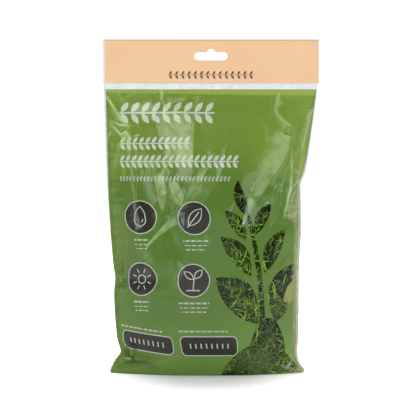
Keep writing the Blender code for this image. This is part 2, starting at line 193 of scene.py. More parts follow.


# %% [markdown]
# The creases of the printed front are placed one by one, after a picture of the bag: the
# pinched fan at its upper left, the long shards that run down from the mouth, the buckle by the right
# shoulder, and the tucks at the two bottom corners.

# %% Creases of the front
# A spine of (x, z, height), how steep its left and right sides are, and how sharp its crest is
FRONT_CREASES = (
    # Fan of pinched folds at the upper left
    ([(-123, 324, 0.2), (-114, 311, 1.3), (-104, 294, 1.0), (-99, 289, 0.2)], 0.20, 0.35, 1.1),
    ([(-120, 295, 0.3), (-106, 289, 1.7), (-95, 288, 0.6)], 0.28, 0.45, 1.0),
    ([(-95, 288, 0.6), (-97, 283, 1.0), (-104, 279, 0.4)], 0.40, 0.12, 1.0),
    ([(-119, 292, 0.3), (-112, 286, 1.2), (-105, 278, 0.6)], 0.28, 0.45, 1.0),
    ([(-105, 278, 0.4), (-99, 281, 0.9), (-94, 278, 0.3)], 0.26, 0.30, 1.0),
    ([(-84, 158, 0.2), (-88, 197, 1.1), (-91, 214, 1.5), (-93, 243, 1.5), (-94, 275, 0.9)],
     0.12, 0.30, 1.2),
    ([(-104, 274, 0.4), (-105, 257, 1.6), (-111, 237, 0.3)], 0.40, 0.16, 1.0),
    ([(-121, 277, 0.2), (-117, 288, 0.7)], 0.25, 0.30, 1.3),
    ([(-112, 329, 0.3), (-104, 321, 1.2), (-96, 314, 0.2)], 0.20, 0.25, 1.0),
    # Fold that hangs from the mouth weld and turns to the right
    ([(-58, 331, 0.9), (-58, 318, 1.7), (-54, 310, 1.2), (-47, 305, 0.3)], 0.30, 0.15, 1.0),
    ([(-52, 302, 0.3), (-38, 305, 1.3), (-22, 314, 0.9), (-16, 321, 0.2)], 0.13, 0.25, 1.0),
    ([(-24, 306, 0.2), (-17, 315, 0.9), (-13, 323, 0.3)], 0.30, 0.30, 1.0),
    # Broad band and long shards down the left of the middle
    ([(-18, 232, 0.3), (-21, 258, 1.7), (-22, 275, 1.8), (-19, 300, 0.3)], 0.03, 0.13, 1.0),
    ([(-76, 236, 0.3), (-72, 262, 1.0), (-66, 285, 1.0), (-60, 300, 0.2)], 0.20, 0.04, 1.0),
    ([(-52, 190, 0.3), (-57, 207, 1.8), (-64, 228, 1.9), (-70, 244, 0.3)], 0.35, 0.17, 1.0),
    ([(-36, 186, 0.2), (-39, 205, 1.3), (-46, 222, 1.4), (-55, 240, 0.2)], 0.20, 0.11, 1.0),
    ([(-75, 149, 0.1), (-62, 162, 1.3), (-46, 178, 1.9), (-36, 189, 0.5)], 0.22, 0.50, 1.0),
    ([(-44, 182, 0.3), (-30, 196, 1.1), (-16, 214, 1.2), (-6, 232, 0.3)], 0.08, 0.30, 1.0),
    ([(-4, 246, 0.1), (4, 254, 1.0), (9, 262, 0.1)], 0.15, 0.20, 1.0),
    ([(8, 222, 0.1), (14, 238, 0.8), (17, 262, 0.1)], 0.10, 0.10, 1.0),
    ([(-80, 131, 0.1), (-75, 143, 0.9), (-76, 152, 0.1)], 0.15, 0.15, 1.5),
    ([(-47, 101, 0.1), (-43, 117, 1.0), (-38, 132, 0.1)], 0.25, 0.20, 1.3),
    ([(-16, 147, 0.1), (-9, 156, 0.9), (-2, 164, 0.1)], 0.25, 0.25, 1.2),
    ([(-38, 135, 0.2), (-33, 127, 1.0), (-28, 118, 0.1)], 0.30, 0.25, 1.2),
    ([(12, 172, 0.1), (19, 189, 0.9), (28, 205, 0.1)], 0.15, 0.15, 1.4),
    # Buckle by the right shoulder, and the large facet under it
    ([(75, 296, 0.3), (73, 306, 1.5), (75, 318, 1.3), (78, 329, 0.3)], 0.30, 0.28, 1.0),
    ([(74, 302, 0.4), (80, 295, 1.5), (91, 289, 0.8), (91, 282, 0.3)], 0.28, 0.35, 1.0),
    ([(79, 285, -0.3), (86, 281, -1.3), (94, 277, -0.3)], 0.35, 0.35, 1.0),
    ([(60, 203, -0.3), (67, 218, -1.6), (84, 247, -2.4), (91, 259, -2.5), (93, 281, -1.6),
      (94, 292, -0.3)], 0.05, 0.22, 1.0),
    ([(60, 238, 0.1), (66, 252, 0.9), (72, 268, 0.1)], 0.05, 0.06, 1.0),
    ([(74, 246, 0.1), (79, 258, 0.6), (84, 268, 0.1)], 0.06, 0.08, 1.0),
    ([(79, 193, 0.1), (82, 215, 0.9), (87, 238, 0.1)], 0.20, 0.20, 1.3),
    ([(64, 160, 0.2), (74, 190, 1.2), (80, 224, 0.3)], 0.12, 0.20, 1.0),
    # Facets along the right seam
    ([(104, 252, 0.2), (106, 264, 0.9), (113, 300, 1.1), (117, 309, 0.3)], 0.30, 0.30, 1.5),
    ([(111, 299, 0.2), (114, 305, 0.9), (118, 309, 0.2)], 0.35, 0.35, 1.1),
    ([(84, 181, 0.3), (92, 212, 1.9), (95, 237, 0.8), (97, 260, 0.1)], 0.40, 0.30, 1.0),
    ([(93, 212, 0.8), (98, 218, 0.9), (103, 223, 0.9)], 0.35, 0.30, 1.1),
    ([(84, 181, 0.4), (94, 185, 1.2), (103, 189, 0.6)], 0.35, 0.30, 1.1),
    ([(102, 85, 0.2), (100, 124, 0.9), (102, 161, 0.2)], 0.30, 0.30, 1.5),
    ([(101, 38, 0.2), (98, 50, 1.3), (100, 62, 0.2)], 0.35, 0.40, 1.1),
    # Small hard creases over the clear area
    ([(33, 172, 0.2), (38, 181, 1.0), (41, 194, 0.1)], 0.40, 0.35, 1.2),
    ([(41, 196, 0.2), (45, 207, 1.0), (50, 219, 0.2)], 0.40, 0.35, 1.2),
    ([(44, 210, 0.2), (48, 217, 0.7), (53, 222, 0.2)], 0.40, 0.40, 1.2),
    ([(59, 87, 0.1), (68, 103, 0.7), (82, 120, 0.1)], 0.20, 0.20, 1.5),
    ([(45, 52, 0.1), (59, 61, 0.6), (77, 66, 0.1)], 0.20, 0.20, 1.5),
    # Dent half-way up the left seam, and the long fold above it
    ([(-111, 108, -0.4), (-106, 122, -2.6), (-97, 156, -0.3)], 0.12, 0.35, 1.0),
    ([(-113, 126, 0.3), (-108, 116, 1.6), (-103, 108, 0.3)], 0.40, 0.45, 1.0),
    ([(-112, 104, 0.4), (-101, 99, 1.3), (-90, 103, 0.1)], 0.35, 0.30, 1.0),
    ([(-112, 166, 0.1), (-108, 160, 0.7), (-104, 155, 0.1)], 0.30, 0.30, 1.5),
    # Tuck and ear at the bottom left
    ([(-106, 31, -0.8), (-99, 26, -3.0), (-92, 19, -2.6), (-80, 15, -0.5)], 0.50, 0.60, 1.0),
    ([(-116, 5, 0.6), (-108, 15, 2.0), (-95, 19, 1.6), (-90, 19, 0.3)], 0.45, 0.40, 1.0),
    ([(-98, 15, -0.6), (-88, 16, -1.8), (-71, 15, -0.6), (-66, 9, -0.2)], 0.40, 0.25, 1.0),
    ([(-88, 32, -0.4), (-90, 24, -1.4), (-93, 18, -0.5)], 0.50, 0.30, 1.0),
    ([(-99, 38, 0.3), (-90, 33, 2.0), (-80, 29, 0.3)], 0.50, 0.50, 1.0),
    # Tuck and ear at the bottom right
    ([(107, 3, 0.4), (96, 9, 2.2), (83, 20, 0.4)], 0.50, 0.45, 1.0),
    ([(89, 1, 0.3), (94, 15, 2.0), (93, 31, 0.4)], 0.50, 0.45, 1.0),
    ([(99, 4, -0.5), (92, 12, -1.8), (80, 17, -0.3)], 0.45, 0.45, 1.0),
    ([(68, 4, 0.2), (80, 9, 1.5), (90, 16, 0.3)], 0.40, 0.40, 1.0),
    ([(97, 22, 0.2), (90, 30, 1.6), (84, 44, 0.2)], 0.40, 0.40, 1.0),
)
# Each step of a small crease: its share of the length, and its share of the height
SMALL_CREASE = ((0.3, 0.8), (0.35, 1.0), (0.35, 0.0))
SMALL_BEND, SMALL_SHARPNESS = 0.35, 1.5


def random_creases(seed, count, low, high, heights, slopes, lengths, lean):
    """Short creases strewn over a part of the sheet, all from one seed."""
    draw = random.Random(seed)
    creases = []
    for _ in range(count):
        x, z = draw.uniform(low[0], high[0]), draw.uniform(low[1], high[1])
        angle = math.pi / 2 + draw.gauss(0, lean)
        length = draw.uniform(*lengths)
        turn = draw.gauss(0, SMALL_BEND)
        height = draw.choice((-1, 1)) * draw.uniform(*heights)
        spine = [(x, z, 0.0)]
        for share, rise in SMALL_CREASE:
            x += length * share * math.cos(angle)
            z += length * share * math.sin(angle)
            angle += turn
            spine.append((x, z, height * rise))
        creases.append((spine, draw.uniform(*slopes), draw.uniform(*slopes), SMALL_SHARPNESS))
    return creases


FINE_FRONT = (
    random_creases(11, 60, (-118, 150), (118, 322), (0.10, 0.45), (0.02, 0.06), (18, 60), 0.45)
    + random_creases(12, 45, (-105, 4), (100, 150), (0.10, 0.35), (0.02, 0.08), (12, 50), 0.9)
)
print("creases on the front:", len(FRONT_CREASES) + len(FINE_FRONT))

# %% [markdown]
# Film that is folded hard turns pale along the fold, as a bent plastic ruler does, and many marks are
# painted highlights: pale lines where the film's gloss would catch a lamp. These marks are lines, each
# with a paleness at every corner and a width; they get thinner where they fade. Painted highlights on
# whole facets are written as triangles. In a tuck the film lies in its own shade, painted as a few
# marks with a paleness below zero.

# %% Pale folds, painted highlights and painted shade in tucks
# A spine of (x, z, paleness) and a width
PALE_MARKS = (
    # Upper left fan and the long line below it
    ([(-123, 324, 0.8), (-114, 311, 1.0), (-104, 295, 0.9), (-101, 291, 0.4)], 1.3),
    ([(-119, 295, 0.2), (-106, 289, 0.8), (-95, 288, 1.0)], 1.1),
    ([(-104, 294, 0.6), (-95, 288, 0.9), (-97, 283, 0.4)], 1.0),
    ([(-119, 292, 0.2), (-112, 286, 0.8), (-105, 278, 0.8)], 1.2),
    ([(-120, 289, 0.3), (-116, 285, 0.2)], 0.9),
    ([(-105, 278, 0.7), (-99, 281, 0.8), (-95, 275, 0.8), (-93, 264, 0.5)], 1.2),
    ([(-93, 252, 0.2), (-91, 236, 0.4), (-90, 218, 0.5), (-87, 197, 0.4), (-84, 156, 0.0)], 0.9),
    ([(-89, 276, 0.5), (-84, 277, 0.8)], 1.1),
    ([(-107, 265, 0.35), (-112, 242, 0.1)], 3.0),
    # Below the mouth weld
    ([(-58, 330, 0.6), (-57, 319, 0.5), (-53, 311, 0.4), (-38, 308, 0.2)], 1.4),
    ([(-24, 306, 0.3), (-14, 319, 0.3)], 1.0),
    # Shards of the middle
    ([(-74, 149, 0.7), (-53, 171, 0.5), (-36, 189, 0.2), (-7, 232, 0.05)], 1.5),
    ([(-56, 226, 0.1), (-45, 203, 0.25), (-44, 189, 0.1)], 3.0),
    ([(-41, 218, 0.1), (-32, 197, 0.2)], 3.0),
    ([(-3, 258, 0.2), (7, 248, 0.1)], 2.0),
    ([(-79, 147, 0.12), (-73, 133, 0.12)], 3.5),
    ([(-47, 130, 0.12), (-40, 104, 0.1)], 3.0),
    ([(-43, 166, 0.1), (-37, 152, 0.1)], 2.5),
    ([(-6, 161, 0.12), (-1, 151, 0.1)], 2.0),
    # Buckle by the right shoulder
    ([(79, 325, 0.3), (74, 307, 0.3), (78, 298, 0.5), (86, 292, 0.6), (92, 288, 0.5),
      (90, 280, 0.2)], 1.4),
    ([(63, 289, 0.1), (66, 272, 0.15)], 2.0),
    # Right margin
    ([(117, 306, 0.6), (111, 284, 0.4), (104, 258, 0.3)], 0.9),
    ([(114, 305, 0.4), (107, 284, 0.3), (104, 265, 0.2)], 0.9),
    ([(112, 306, 0.6), (118, 306, 0.6)], 1.2),
    ([(95, 260, 0.1), (94, 243, 0.5), (92, 216, 1.0), (90, 209, 0.9), (85, 183, 0.5)], 1.3),
    ([(92, 214, 0.8), (103, 225, 0.5)], 1.0),
    ([(85, 183, 0.5), (103, 189, 0.4)], 0.9),
    ([(98, 236, 0.5), (101, 233, 0.5)], 1.4),
    ([(79, 197, 0.05), (83, 220, 0.2), (88, 240, 0.1)], 1.4),
    ([(97, 58, 0.3), (101, 42, 0.4)], 1.5),
    ([(99, 168, 0.2), (99, 110, 0.3), (98, 60, 0.2)], 1.0),
    # Over the clear area
    ([(37, 175, 0.9), (41, 193, 1.0), (44, 207, 0.4)], 1.2),
    ([(46, 214, 0.9), (50, 221, 0.6)], 1.0),
    # Left seam
    ([(-112, 166, 0.2), (-104, 155, 0.2)], 0.9),
    ([(-110, 118, 0.2), (-104, 108, 0.3)], 1.0),
    # Bottom corners
    ([(-106, 17, 0.5), (-100, 18, 0.5), (-94, 18, 1.0)], 1.0),
    ([(-93, 30, 0.5), (-94, 24, 0.4), (-95, 20, 0.2)], 0.9),
    ([(-65, 11, 0.1), (-59, 16, 0.1)], 2.0),
    ([(84, 3, 0.3), (90, 10, 0.6), (97, 23, 0.5)], 1.0),
    ([(88, 25, 0.4), (93, 16, 0.5), (104, 7, 0.6)], 1.0),
    ([(74, 13, 0.2), (84, 9, 0.5), (95, 5, 0.3)], 1.1),
    ([(98, 4, 0.4), (104, 9, 0.6)], 0.9),
)
# Painted highlights: facets that are paler where the film's gloss would catch a lamp
# Three corners of (x, z, paleness)
PAINTED_HIGHLIGHT_FACETS = (
    # Upper left fan
    ((-114, 311, 0.40), (-104, 295, 0.50), (-112, 293, 0.15)),
    ((-114, 311, 0.20), (-112, 293, 0.10), (-117, 303, 0.00)),
    ((-112, 293, 0.10), (-104, 295, 0.20), (-95, 288, 0.05)),
    ((-111, 330, 0.25), (-102, 315, 0.10), (-106, 330, 0.20)),
    ((-90, 325, 0.15), (-101, 316, 0.15), (-105, 321, 0.00)),
    # Ribbon below the fan, and the shard at the left seam
    ((-105, 278, 0.30), (-95, 280, 0.40), (-101, 258, 0.10)),
    ((-95, 280, 0.40), (-93, 255, 0.35), (-101, 258, 0.10)),
    ((-101, 258, 0.10), (-93, 255, 0.35), (-92, 232, 0.15)),
    ((-106, 247, 0.08), (-96, 247, 0.20), (-101, 224, 0.16)),
    ((-116, 282, 0.40), (-120, 279, 0.20), (-120, 265, 0.10)),
    ((-114, 256, 0.15), (-105, 267, 0.30), (-111, 242, 0.30)),
    ((-105, 267, 0.30), (-103, 258, 0.15), (-111, 242, 0.30)),
    # Below the mouth weld
    ((-60, 331, 0.30), (-53, 331, 0.10), (-57, 314, 0.25)),
    ((-57, 314, 0.25), (-46, 308, 0.25), (-53, 305, 0.05)),
    ((-46, 308, 0.25), (-30, 310, 0.15), (-38, 304, 0.00)),
    # Broad veil with its sharp right edge
    ((-56, 309, 0.00), (-19, 300, 0.32), (-21, 247, 0.46)),
    ((-56, 309, 0.00), (-21, 247, 0.46), (-54, 243, 0.26)),
    ((-42, 255, 0.24), (-21, 249, 0.36), (-20, 232, 0.20)),
    ((-76, 250, 0.10), (-60, 250, 0.26), (-64, 228, 0.30)),
    ((-76, 250, 0.10), (-64, 228, 0.30), (-74, 232, 0.10)),
    ((-60, 250, 0.26), (-44, 250, 0.30), (-56, 230, 0.36)),
    ((-26, 228, 0.20), (10, 226, 0.14), (-8, 200, 0.10)),
    ((-26, 228, 0.20), (-8, 200, 0.10), (-26, 204, 0.14)),
    # Shards of the middle
    ((-67, 238, 0.25), (-54, 228, 0.55), (-62, 205, 0.55)),
    ((-54, 228, 0.55), (-51, 205, 0.50), (-62, 205, 0.55)),
    ((-62, 205, 0.55), (-51, 205, 0.50), (-56, 186, 0.35)),
    ((-48, 224, 0.35), (-38, 222, 0.55), (-45, 204, 0.50)),
    ((-38, 222, 0.55), (-31, 206, 0.55), (-45, 204, 0.50)),
    ((-31, 206, 0.55), (-34, 194, 0.45), (-45, 204, 0.50)),
    ((1, 260, 0.08), (7, 253, 0.14), (-9, 230, 0.30)),
    ((1, 260, 0.08), (-9, 230, 0.30), (-19, 228, 0.14)),
    ((-19, 228, 0.14), (-9, 230, 0.30), (-31, 200, 0.32)),
    # Long wedge towards the lower left
    ((-74, 150, 0.50), (-56, 172, 0.45), (-50, 168, 0.45)),
    ((-56, 172, 0.45), (-42, 184, 0.38), (-50, 168, 0.45)),
    ((-42, 184, 0.38), (-38, 175, 0.34), (-50, 168, 0.45)),
    # Soft blobs between the dark spots
    ((-75, 144, 0.05), (-66, 132, 0.20), (-70, 128, 0.05)),
    ((-39, 134, 0.20), (-30, 128, 0.18), (-37, 120, 0.08)),
    ((-45, 163, 0.04), (-38, 164, 0.20), (-42, 151, 0.12)),
    ((-37, 120, 0.08), (-30, 128, 0.12), (-50, 108, 0.04)),
    # Facet and buckle by the right shoulder
    ((76, 283, 0.12), (92, 277, 0.30), (91, 263, 0.32)),
    ((76, 283, 0.12), (91, 263, 0.32), (61, 263, 0.06)),
    ((61, 263, 0.06), (91, 263, 0.32), (83, 244, 0.32)),
    ((61, 263, 0.08), (83, 244, 0.42), (59, 235, 0.16)),
    ((59, 235, 0.16), (83, 244, 0.42), (65, 218, 0.42)),
    ((59, 235, 0.16), (65, 218, 0.42), (41, 207, 0.24)),
    ((65, 218, 0.42), (58, 207, 0.34), (41, 207, 0.24)),
    ((51, 306, 0.00), (66, 289, 0.16), (65, 271, 0.04)),
    ((74, 304, 0.40), (80, 302, 0.20), (90, 290, 0.40)),
    ((79, 291, 0.20), (90, 290, 0.45), (85, 283, 0.10)),
    ((77, 329, 0.15), (84, 314, 0.25), (75, 308, 0.30)),
    ((80, 212, 0.00), (85, 205, 0.20), (79, 190, 0.05)),
    # Beside the clear area
    ((45, 206, 0.90), (52, 200, 0.40), (38, 174, 0.90)),
    # Tuck at the bottom right
    ((84, 6, 0.16), (96, 22, 0.36), (92, 4, 0.10)),
    ((92, 25, 0.30), (99, 13, 0.42), (93, 9, 0.14)),
    ((98, 12, 0.30), (107, 4, 0.50), (97, 3, 0.20)),
    ((72, 6, 0.05), (84, 12, 0.26), (86, 4, 0.10)),
    # Over the dark spots
    ((-90, 202, 0.55), (-80, 170, 0.40), (-87, 168, 0.35)),
    ((-38, 188, 0.55), (-30, 188, 0.30), (-31, 168, 0.50)),
    ((-27, 186, 0.30), (-23, 178, 0.20), (-29, 172, 0.30)),
    ((-76, 125, 0.16), (-68, 118, 0.12), (-79, 103, 0.06)),
    ((-29, 125, 0.26), (-37, 119, 0.20), (-41, 97, 0.10)),
)
# Painted shade in the tucks and folds, in the dent by the left seam and along the foot
TUCK_SHADES = (
    ([(-101, 28, -0.4), (-93, 20, -0.7)], 1.4),
    ([(-87, 32, -0.5), (-89, 24, -0.8), (-91, 19, -0.9)], 2.2),
    ([(-104, 12, -0.3), (-98, 14, -0.6), (-89, 15, -0.8), (-78, 16, -0.6), (-69, 13, -0.3)], 2.6),
    ([(-88, 18, -0.2), (-77, 15, -0.35), (-67, 11, -0.3)], 5.5),
    ([(-73, 14, -0.2), (-67, 9, -0.5)], 3.0),
    ([(-106, 8, -0.10), (-80, 8, -0.10)], 10.0),
    ([(-96, 152, -0.08), (-97, 131, -0.16), (-96, 108, -0.08)], 8.0),
    ([(-114, 2, -0.3), (-95, 2, -0.4), (-60, 1, -0.2)], 1.4),
    ([(-94, 123, -0.2), (-103, 101, -0.4)], 2.4),
    ([(-112, 102, -0.4), (-103, 100, -0.2)], 1.6),
    ([(79, 284, -0.2), (94, 277, -0.4)], 1.2),
)
FACET_RIM = 1.2
SHADE_LIMIT = 0.25


def along_marks(x, z, marks):
    """The strongest mark at every point; strengths may all be below zero."""
    found = np.zeros_like(x)
    for spine, width in marks:
        strongest = max(abs(p[2]) for p in spine)
        for start, end in zip(spine, spine[1:]):
            share, off_x, off_z, _ = from_stretch(x, z, start, end)
            level = start[2] + (end[2] - start[2]) * share
            wide = width * (0.5 + 0.5 * np.abs(level) / strongest)
            here = level * np.exp(-(off_x**2 + off_z**2) / wide**2)
            found = np.where(np.abs(here) > np.abs(found), here, found)
    return found


def painted_highlight_facets(x, z, facets):
    """Painted highlight inside triangles, with a soft rim."""
    pale = np.zeros_like(x)
    for (x0, z0, p0), (x1, z1, p1), (x2, z2, p2) in facets:
        area = (x1 - x0) * (z2 - z0) - (x2 - x0) * (z1 - z0)
        s1 = ((x - x0) * (z2 - z0) - (x2 - x0) * (z - z0)) / area
        s2 = ((x1 - x0) * (z - z0) - (x - x0) * (z1 - z0)) / area
        s0 = 1 - s1 - s2
        size = math.sqrt(abs(area))
        rim = np.clip(np.minimum(np.minimum(s0, s1), s2) * size / FACET_RIM + 0.5, 0, 1)
        pale = np.maximum(pale, rim * (p0 * s0 + p1 * s1 + p2 * s2))
    return pale


def paleness(x, z):
    """Pale folds and painted highlights up to 1, and painted shade in tucks down to -1."""
    pale = np.maximum(along_marks(x, z, PALE_MARKS), painted_highlight_facets(x, z, PAINTED_HIGHLIGHT_FACETS))
    return np.where(pale > SHADE_LIMIT, pale, pale + along_marks(x, z, TUCK_SHADES))


print("pale marks:", len(PALE_MARKS), "hazy facets:", len(PAINTED_HIGHLIGHT_FACETS), "shades:", len(TUCK_SHADES))

# %% [markdown]
# ## From rules to sheets
# Each film panel is one open sheet, as real film is: a tenth of a millimetre is too thin to show.
# Its grid is even along the curve of the film, not along the x axis. So the two numbers kept in the
# UV map are real millimetres on the flat film, and the print is stretched nowhere when the bag is
# full.

# %% Build a sheet of film
PRINT_HALF = 0.1234
SHEET_TOP, SHEET_BOTTOM = 0.3304, 0.0004
FINE_STEPS = 401
SHEET_LIFT = 0.0002
# Height, then how far the clear edge reaches in from the left and from the right seam
CLEAR_EDGE = (
    (0.000, -0.0020, 0.0008), (0.008, 0.0000, 0.0022), (0.050, -0.0008, 0.0026),
    (0.160, -0.0008, 0.0026), (0.210, -0.0005, 0.0026), (0.260, 0.0000, 0.0010),
    (0.330, 0.0001, -0.0002),
)


def sheet_edges_at(height):
    """Where the printed sheet ends: it laps over the inner part of the side welds."""
    left, right = seams_at(height)
    return left + read_table(CLEAR_EDGE, 1, height), right - read_table(CLEAR_EDGE, 2, height)


def new_object(name, points, faces, uv=None, smooth=True):
    """An object at the origin from arrays of points and faces, with an optional UV map."""
    mesh = bpy.data.meshes.new(name)
    mesh.from_pydata([tuple(p) for p in points], [], [tuple(f) for f in faces])
    if uv is not None:
        layer = mesh.uv_layers.new(name="Film")
        corners = np.empty(len(mesh.loops), np.int32)
        mesh.loops.foreach_get("vertex_index", corners)
        layer.data.foreach_set("uv", np.asarray(uv, np.float32)[corners].ravel())
    if smooth:
        mesh.shade_smooth()
    thing = bpy.data.objects.new(name, mesh)
    bpy.context.scene.collection.objects.link(thing)
    return thing


def paint(thing, label, values):
    """Give a mesh one number at every point, for a node tree to read."""
    mark = thing.data.attributes.new(label, "FLOAT", "POINT")
    mark.data.foreach_set("value", np.asarray(values, np.float32).ravel())


def grid_faces(rows, columns, flip=False):
    """Quads of a grid with rows + 1 by columns + 1 points, numbered row by row."""
    start = np.arange(rows)[:, None] * (columns + 1) + np.arange(columns)[None, :]
    quads = np.stack([start, start + 1, start + columns + 2, start + columns + 1], axis=-1)
    quads = quads.reshape(-1, 4)
    return quads[:, ::-1] if flip else quads


def flat_place(rows, columns):
    """x, z and film coordinate u of an even grid on the filled film."""
    z = np.linspace(SHEET_BOTTOM, SHEET_TOP, rows + 1)[:, None] + np.zeros((1, FINE_STEPS))
    left, right = sheet_edges_at(z)
    x = left + (right - left) * np.linspace(0, 1, FINE_STEPS)[None, :]
    y = stand_out(x, z)
    length = np.hypot(np.diff(x, axis=1), np.diff(y, axis=1)).cumsum(axis=1)
    length = np.concatenate([np.zeros((rows + 1, 1)), length], axis=1)
    even = np.linspace(0, 1, columns + 1)
    places = [np.interp(even * row[-1], row, line) for row, line in zip(length, x)]
    u = np.broadcast_to((2 * even - 1) * PRINT_HALF, (rows + 1, columns + 1))
    return np.array(places), z[:, : columns + 1].copy(), u


# %% [markdown]
# The weld is stiffer than the film, so each seam ruffles as a whole and the film puckers beside it. A
# few sine waves of unequal pitch never repeat over the height of the bag, so they look like chance.

# %% Ruffles, puckers and the whole sheet
RUFFLE_PITCHES = (0.0083, 0.0131, 0.0217, 0.047)
RUFFLE_STEEPNESS, RUFFLE_REACH = 0.008, 0.006
PUCKER_PITCHES = (0.0061, 0.0093, 0.0147, 0.023)
PUCKER_HEIGHT, PUCKER_REACH = 0.00005, 0.007
PUCKER_SWAY, PUCKER_SWAY_LENGTH = 2.0, 0.021
HELD_RIM = 0.003


def seam_wave(z, seam):
    """The small ruffle of a side seam, the same for both films and their weld."""
    draw = np.random.default_rng(31 + seam)
    return sum(
        RUFFLE_STEEPNESS * pitch * np.sin(2 * np.pi * (z / pitch + draw.random()))
        for pitch in RUFFLE_PITCHES)


def puckers(z, from_seam, seed):
    """Short ripples that run out from a weld, in metres."""
    draw = np.random.default_rng(seed)
    wave = np.zeros_like(z)
    for pitch in PUCKER_PITCHES:
        phase = 2 * np.pi * (z / pitch + draw.random())
        wave += np.sin(phase + PUCKER_SWAY * np.sin(z / PUCKER_SWAY_LENGTH + draw.random() * 6))
    fading = np.exp(-from_seam / PUCKER_REACH) * np.clip(from_seam / HELD_RIM, 0, 1)
    return PUCKER_HEIGHT * wave * fading


def film_sheet(name, side, rows, columns, creases, seed):
    """The front (side -1) or back (side 1) film, and the x and z in mm of its points."""
    x, z, u = flat_place(rows, columns)
    slope_x, slope_z, long = slopes_at(x, z)
    left, right = panel_edges_at(z)
    from_seam = np.maximum(np.minimum(x - left, right - x), 0.0)
    held = np.clip(from_seam / HELD_RIM, 0, 1) * np.clip((SHEET_TOP - z) / HELD_RIM, 0, 1)
    relief = MM * crease_field(x / MM, z / MM, creases) * held + puckers(z, from_seam, seed)
    normal = np.stack([-slope_x / long, side / long, -slope_z / long], axis=-1)
    ruffle = seam_wave(z, 0) * np.exp(np.minimum(left - x, 0) / RUFFLE_REACH)
    ruffle += seam_wave(z, 1) * np.exp(np.minimum(x - right, 0) / RUFFLE_REACH)
    depth = side * (stand_out(x, z) - SEAM_STAND_OFF + SHEET_LIFT) + ruffle
    points = np.stack([x, depth, z], axis=-1) + relief[..., None] * normal
    points[..., 2] = np.maximum(points[..., 2], SHEET_BOTTOM)
    uv = np.stack([u, z], axis=-1)
    faces = grid_faces(rows, columns, flip=side > 0)
    sheet = new_object(name, points.reshape(-1, 3), faces, uv.reshape(-1, 2))
    return sheet, x / MM, z / MM


front, front_x, front_z = film_sheet(
    "front_film_sheet", -1, 360, 270, [*FRONT_CREASES, *FINE_FRONT], 5)
paint(front, "pale", paleness(front_x, front_z))
print("front film:", len(front.data.polygons), "faces")

# %% [markdown]
# The back isn't in the picture that this bag was measured from. It is the same sheet with creases of
# its own, a little coarser.

# %% The back film
FINE_BACK = (
    random_creases(21, 70, (-115, 140), (115, 322), (0.3, 1.3), (0.08, 0.25), (25, 80), 0.45)
    + random_creases(22, 50, (-105, 4), (100, 150), (0.1, 0.7), (0.05, 0.15), (15, 60), 0.9)
)
back, *_ = film_sheet("back_film_sheet", 1, 230, 170, FINE_BACK, 6)
print("back film:", len(back.data.polygons), "faces")

# %% [markdown]
# ## The flat head of the bag
# Above the mouth weld the two films are one flat card with a hanging slot punched through it. The
# outline and the slot are drawn as lines, a triangulation that respects them fills the card with
# small triangles, and then the card gets its gentle wave and two faces.

# %% Slot outline
FILM_WIDTH, BAG_HEIGHT = 0.250, 0.388
HEADER_BOTTOM, SEAL_BOTTOM = 0.3371, 0.3302
SLOT_WIDTH = 0.0389
SLOT_LOW, SLOT_HIGH, SLOT_PEAK = 0.3636, 0.3733, 0.3771
SLOT_RISE_WIDTH, SLOT_FLARE = 0.0080, 0.0016
ROUND_STEPS = 14


def half_round(x, z, radius_x, radius_z, first):
    """Half of an ellipse as points, anticlockwise from the first angle."""
    angles = [first + math.pi * i / ROUND_STEPS for i in range(ROUND_STEPS + 1)]
    return [(x + radius_x * math.cos(a), z + radius_z * math.sin(a)) for a in angles]


def slot_outline():
    """A long, round-ended slot with a small round rise in the middle of its upper side."""
    end = (SLOT_HIGH - SLOT_LOW) / 2
    middle = (SLOT_HIGH + SLOT_LOW) / 2
    far = SLOT_WIDTH / 2 - end
    half = SLOT_RISE_WIDTH / 2
    foot = SLOT_HIGH + SLOT_FLARE
    return [
        *half_round(far, middle, end, end, -math.pi / 2),
        (half + SLOT_FLARE, SLOT_HIGH),
        *half_round(0.0, foot, half, SLOT_PEAK - foot, 0.0),
        (-half - SLOT_FLARE, SLOT_HIGH),
        *half_round(-far, middle, end, end, math.pi / 2),
    ]


print("slot outline:", len(slot_outline()), "points")

# %% [markdown]
# The head looks flat, but its reflection shows a slow wave and a few shallow creases, so the card is
# waved before it gets its thickness.

# %% The waved card
CARD_WAVE, CARD_WAVE_LENGTH, CARD_WAVE_START = 0.0009, 0.047, 0.6
CARD_FOOT, CARD_REACH = 0.330, 0.058
MERGE_DISTANCE = 1e-6
HEADER_CREASES = (
    ([(3.5, 378, 0.1), (3.8, 384, 0.5), (2.2, 389, 0.5)], 0.15, 0.12, 1.3),
    ([(9, 340, 0.0), (8, 352, 0.3), (4.6, 362, 0.1)], 0.06, 0.04, 1.4),
    ([(84, 336, 0.3), (86.5, 346, 0.0)], 0.15, 0.10, 1.2),
    ([(97, 336, 0.3), (98.5, 344, 0.0)], 0.15, 0.10, 1.2),
    ([(-100, 336, 0.4), (-98, 352, 0.3), (-110, 372, 0.0)], 0.04, 0.04, 1.5),
    ([(-92, 384, 0.0), (-80, 386, 0.3), (-60, 387, 0.0)], 0.08, 0.05, 1.5),
    ([(60, 350, 0.0), (85, 372, 0.4), (92, 388, 0.3)], 0.03, 0.03, 1.6),
)


def card_wave(x, z):
    """How far the flat head leans and waves out of its plane."""
    wave = CARD_WAVE * np.sin(x / CARD_WAVE_LENGTH + CARD_WAVE_START) * (z - CARD_FOOT) / CARD_REACH
    return wave - MM * crease_field(x / MM, z / MM, HEADER_CREASES)


def inside_ring(x, z, ring):
    """Whether a place is inside a closed ring of points."""
    inside = False
    for (x0, z0), (x1, z1) in zip(ring, ring[1:] + ring[:1]):
        if (z0 > z) != (z1 > z) and x < (x1 - x0) * (z - z0) / (z1 - z0) + x0:
            inside = not inside
    return inside


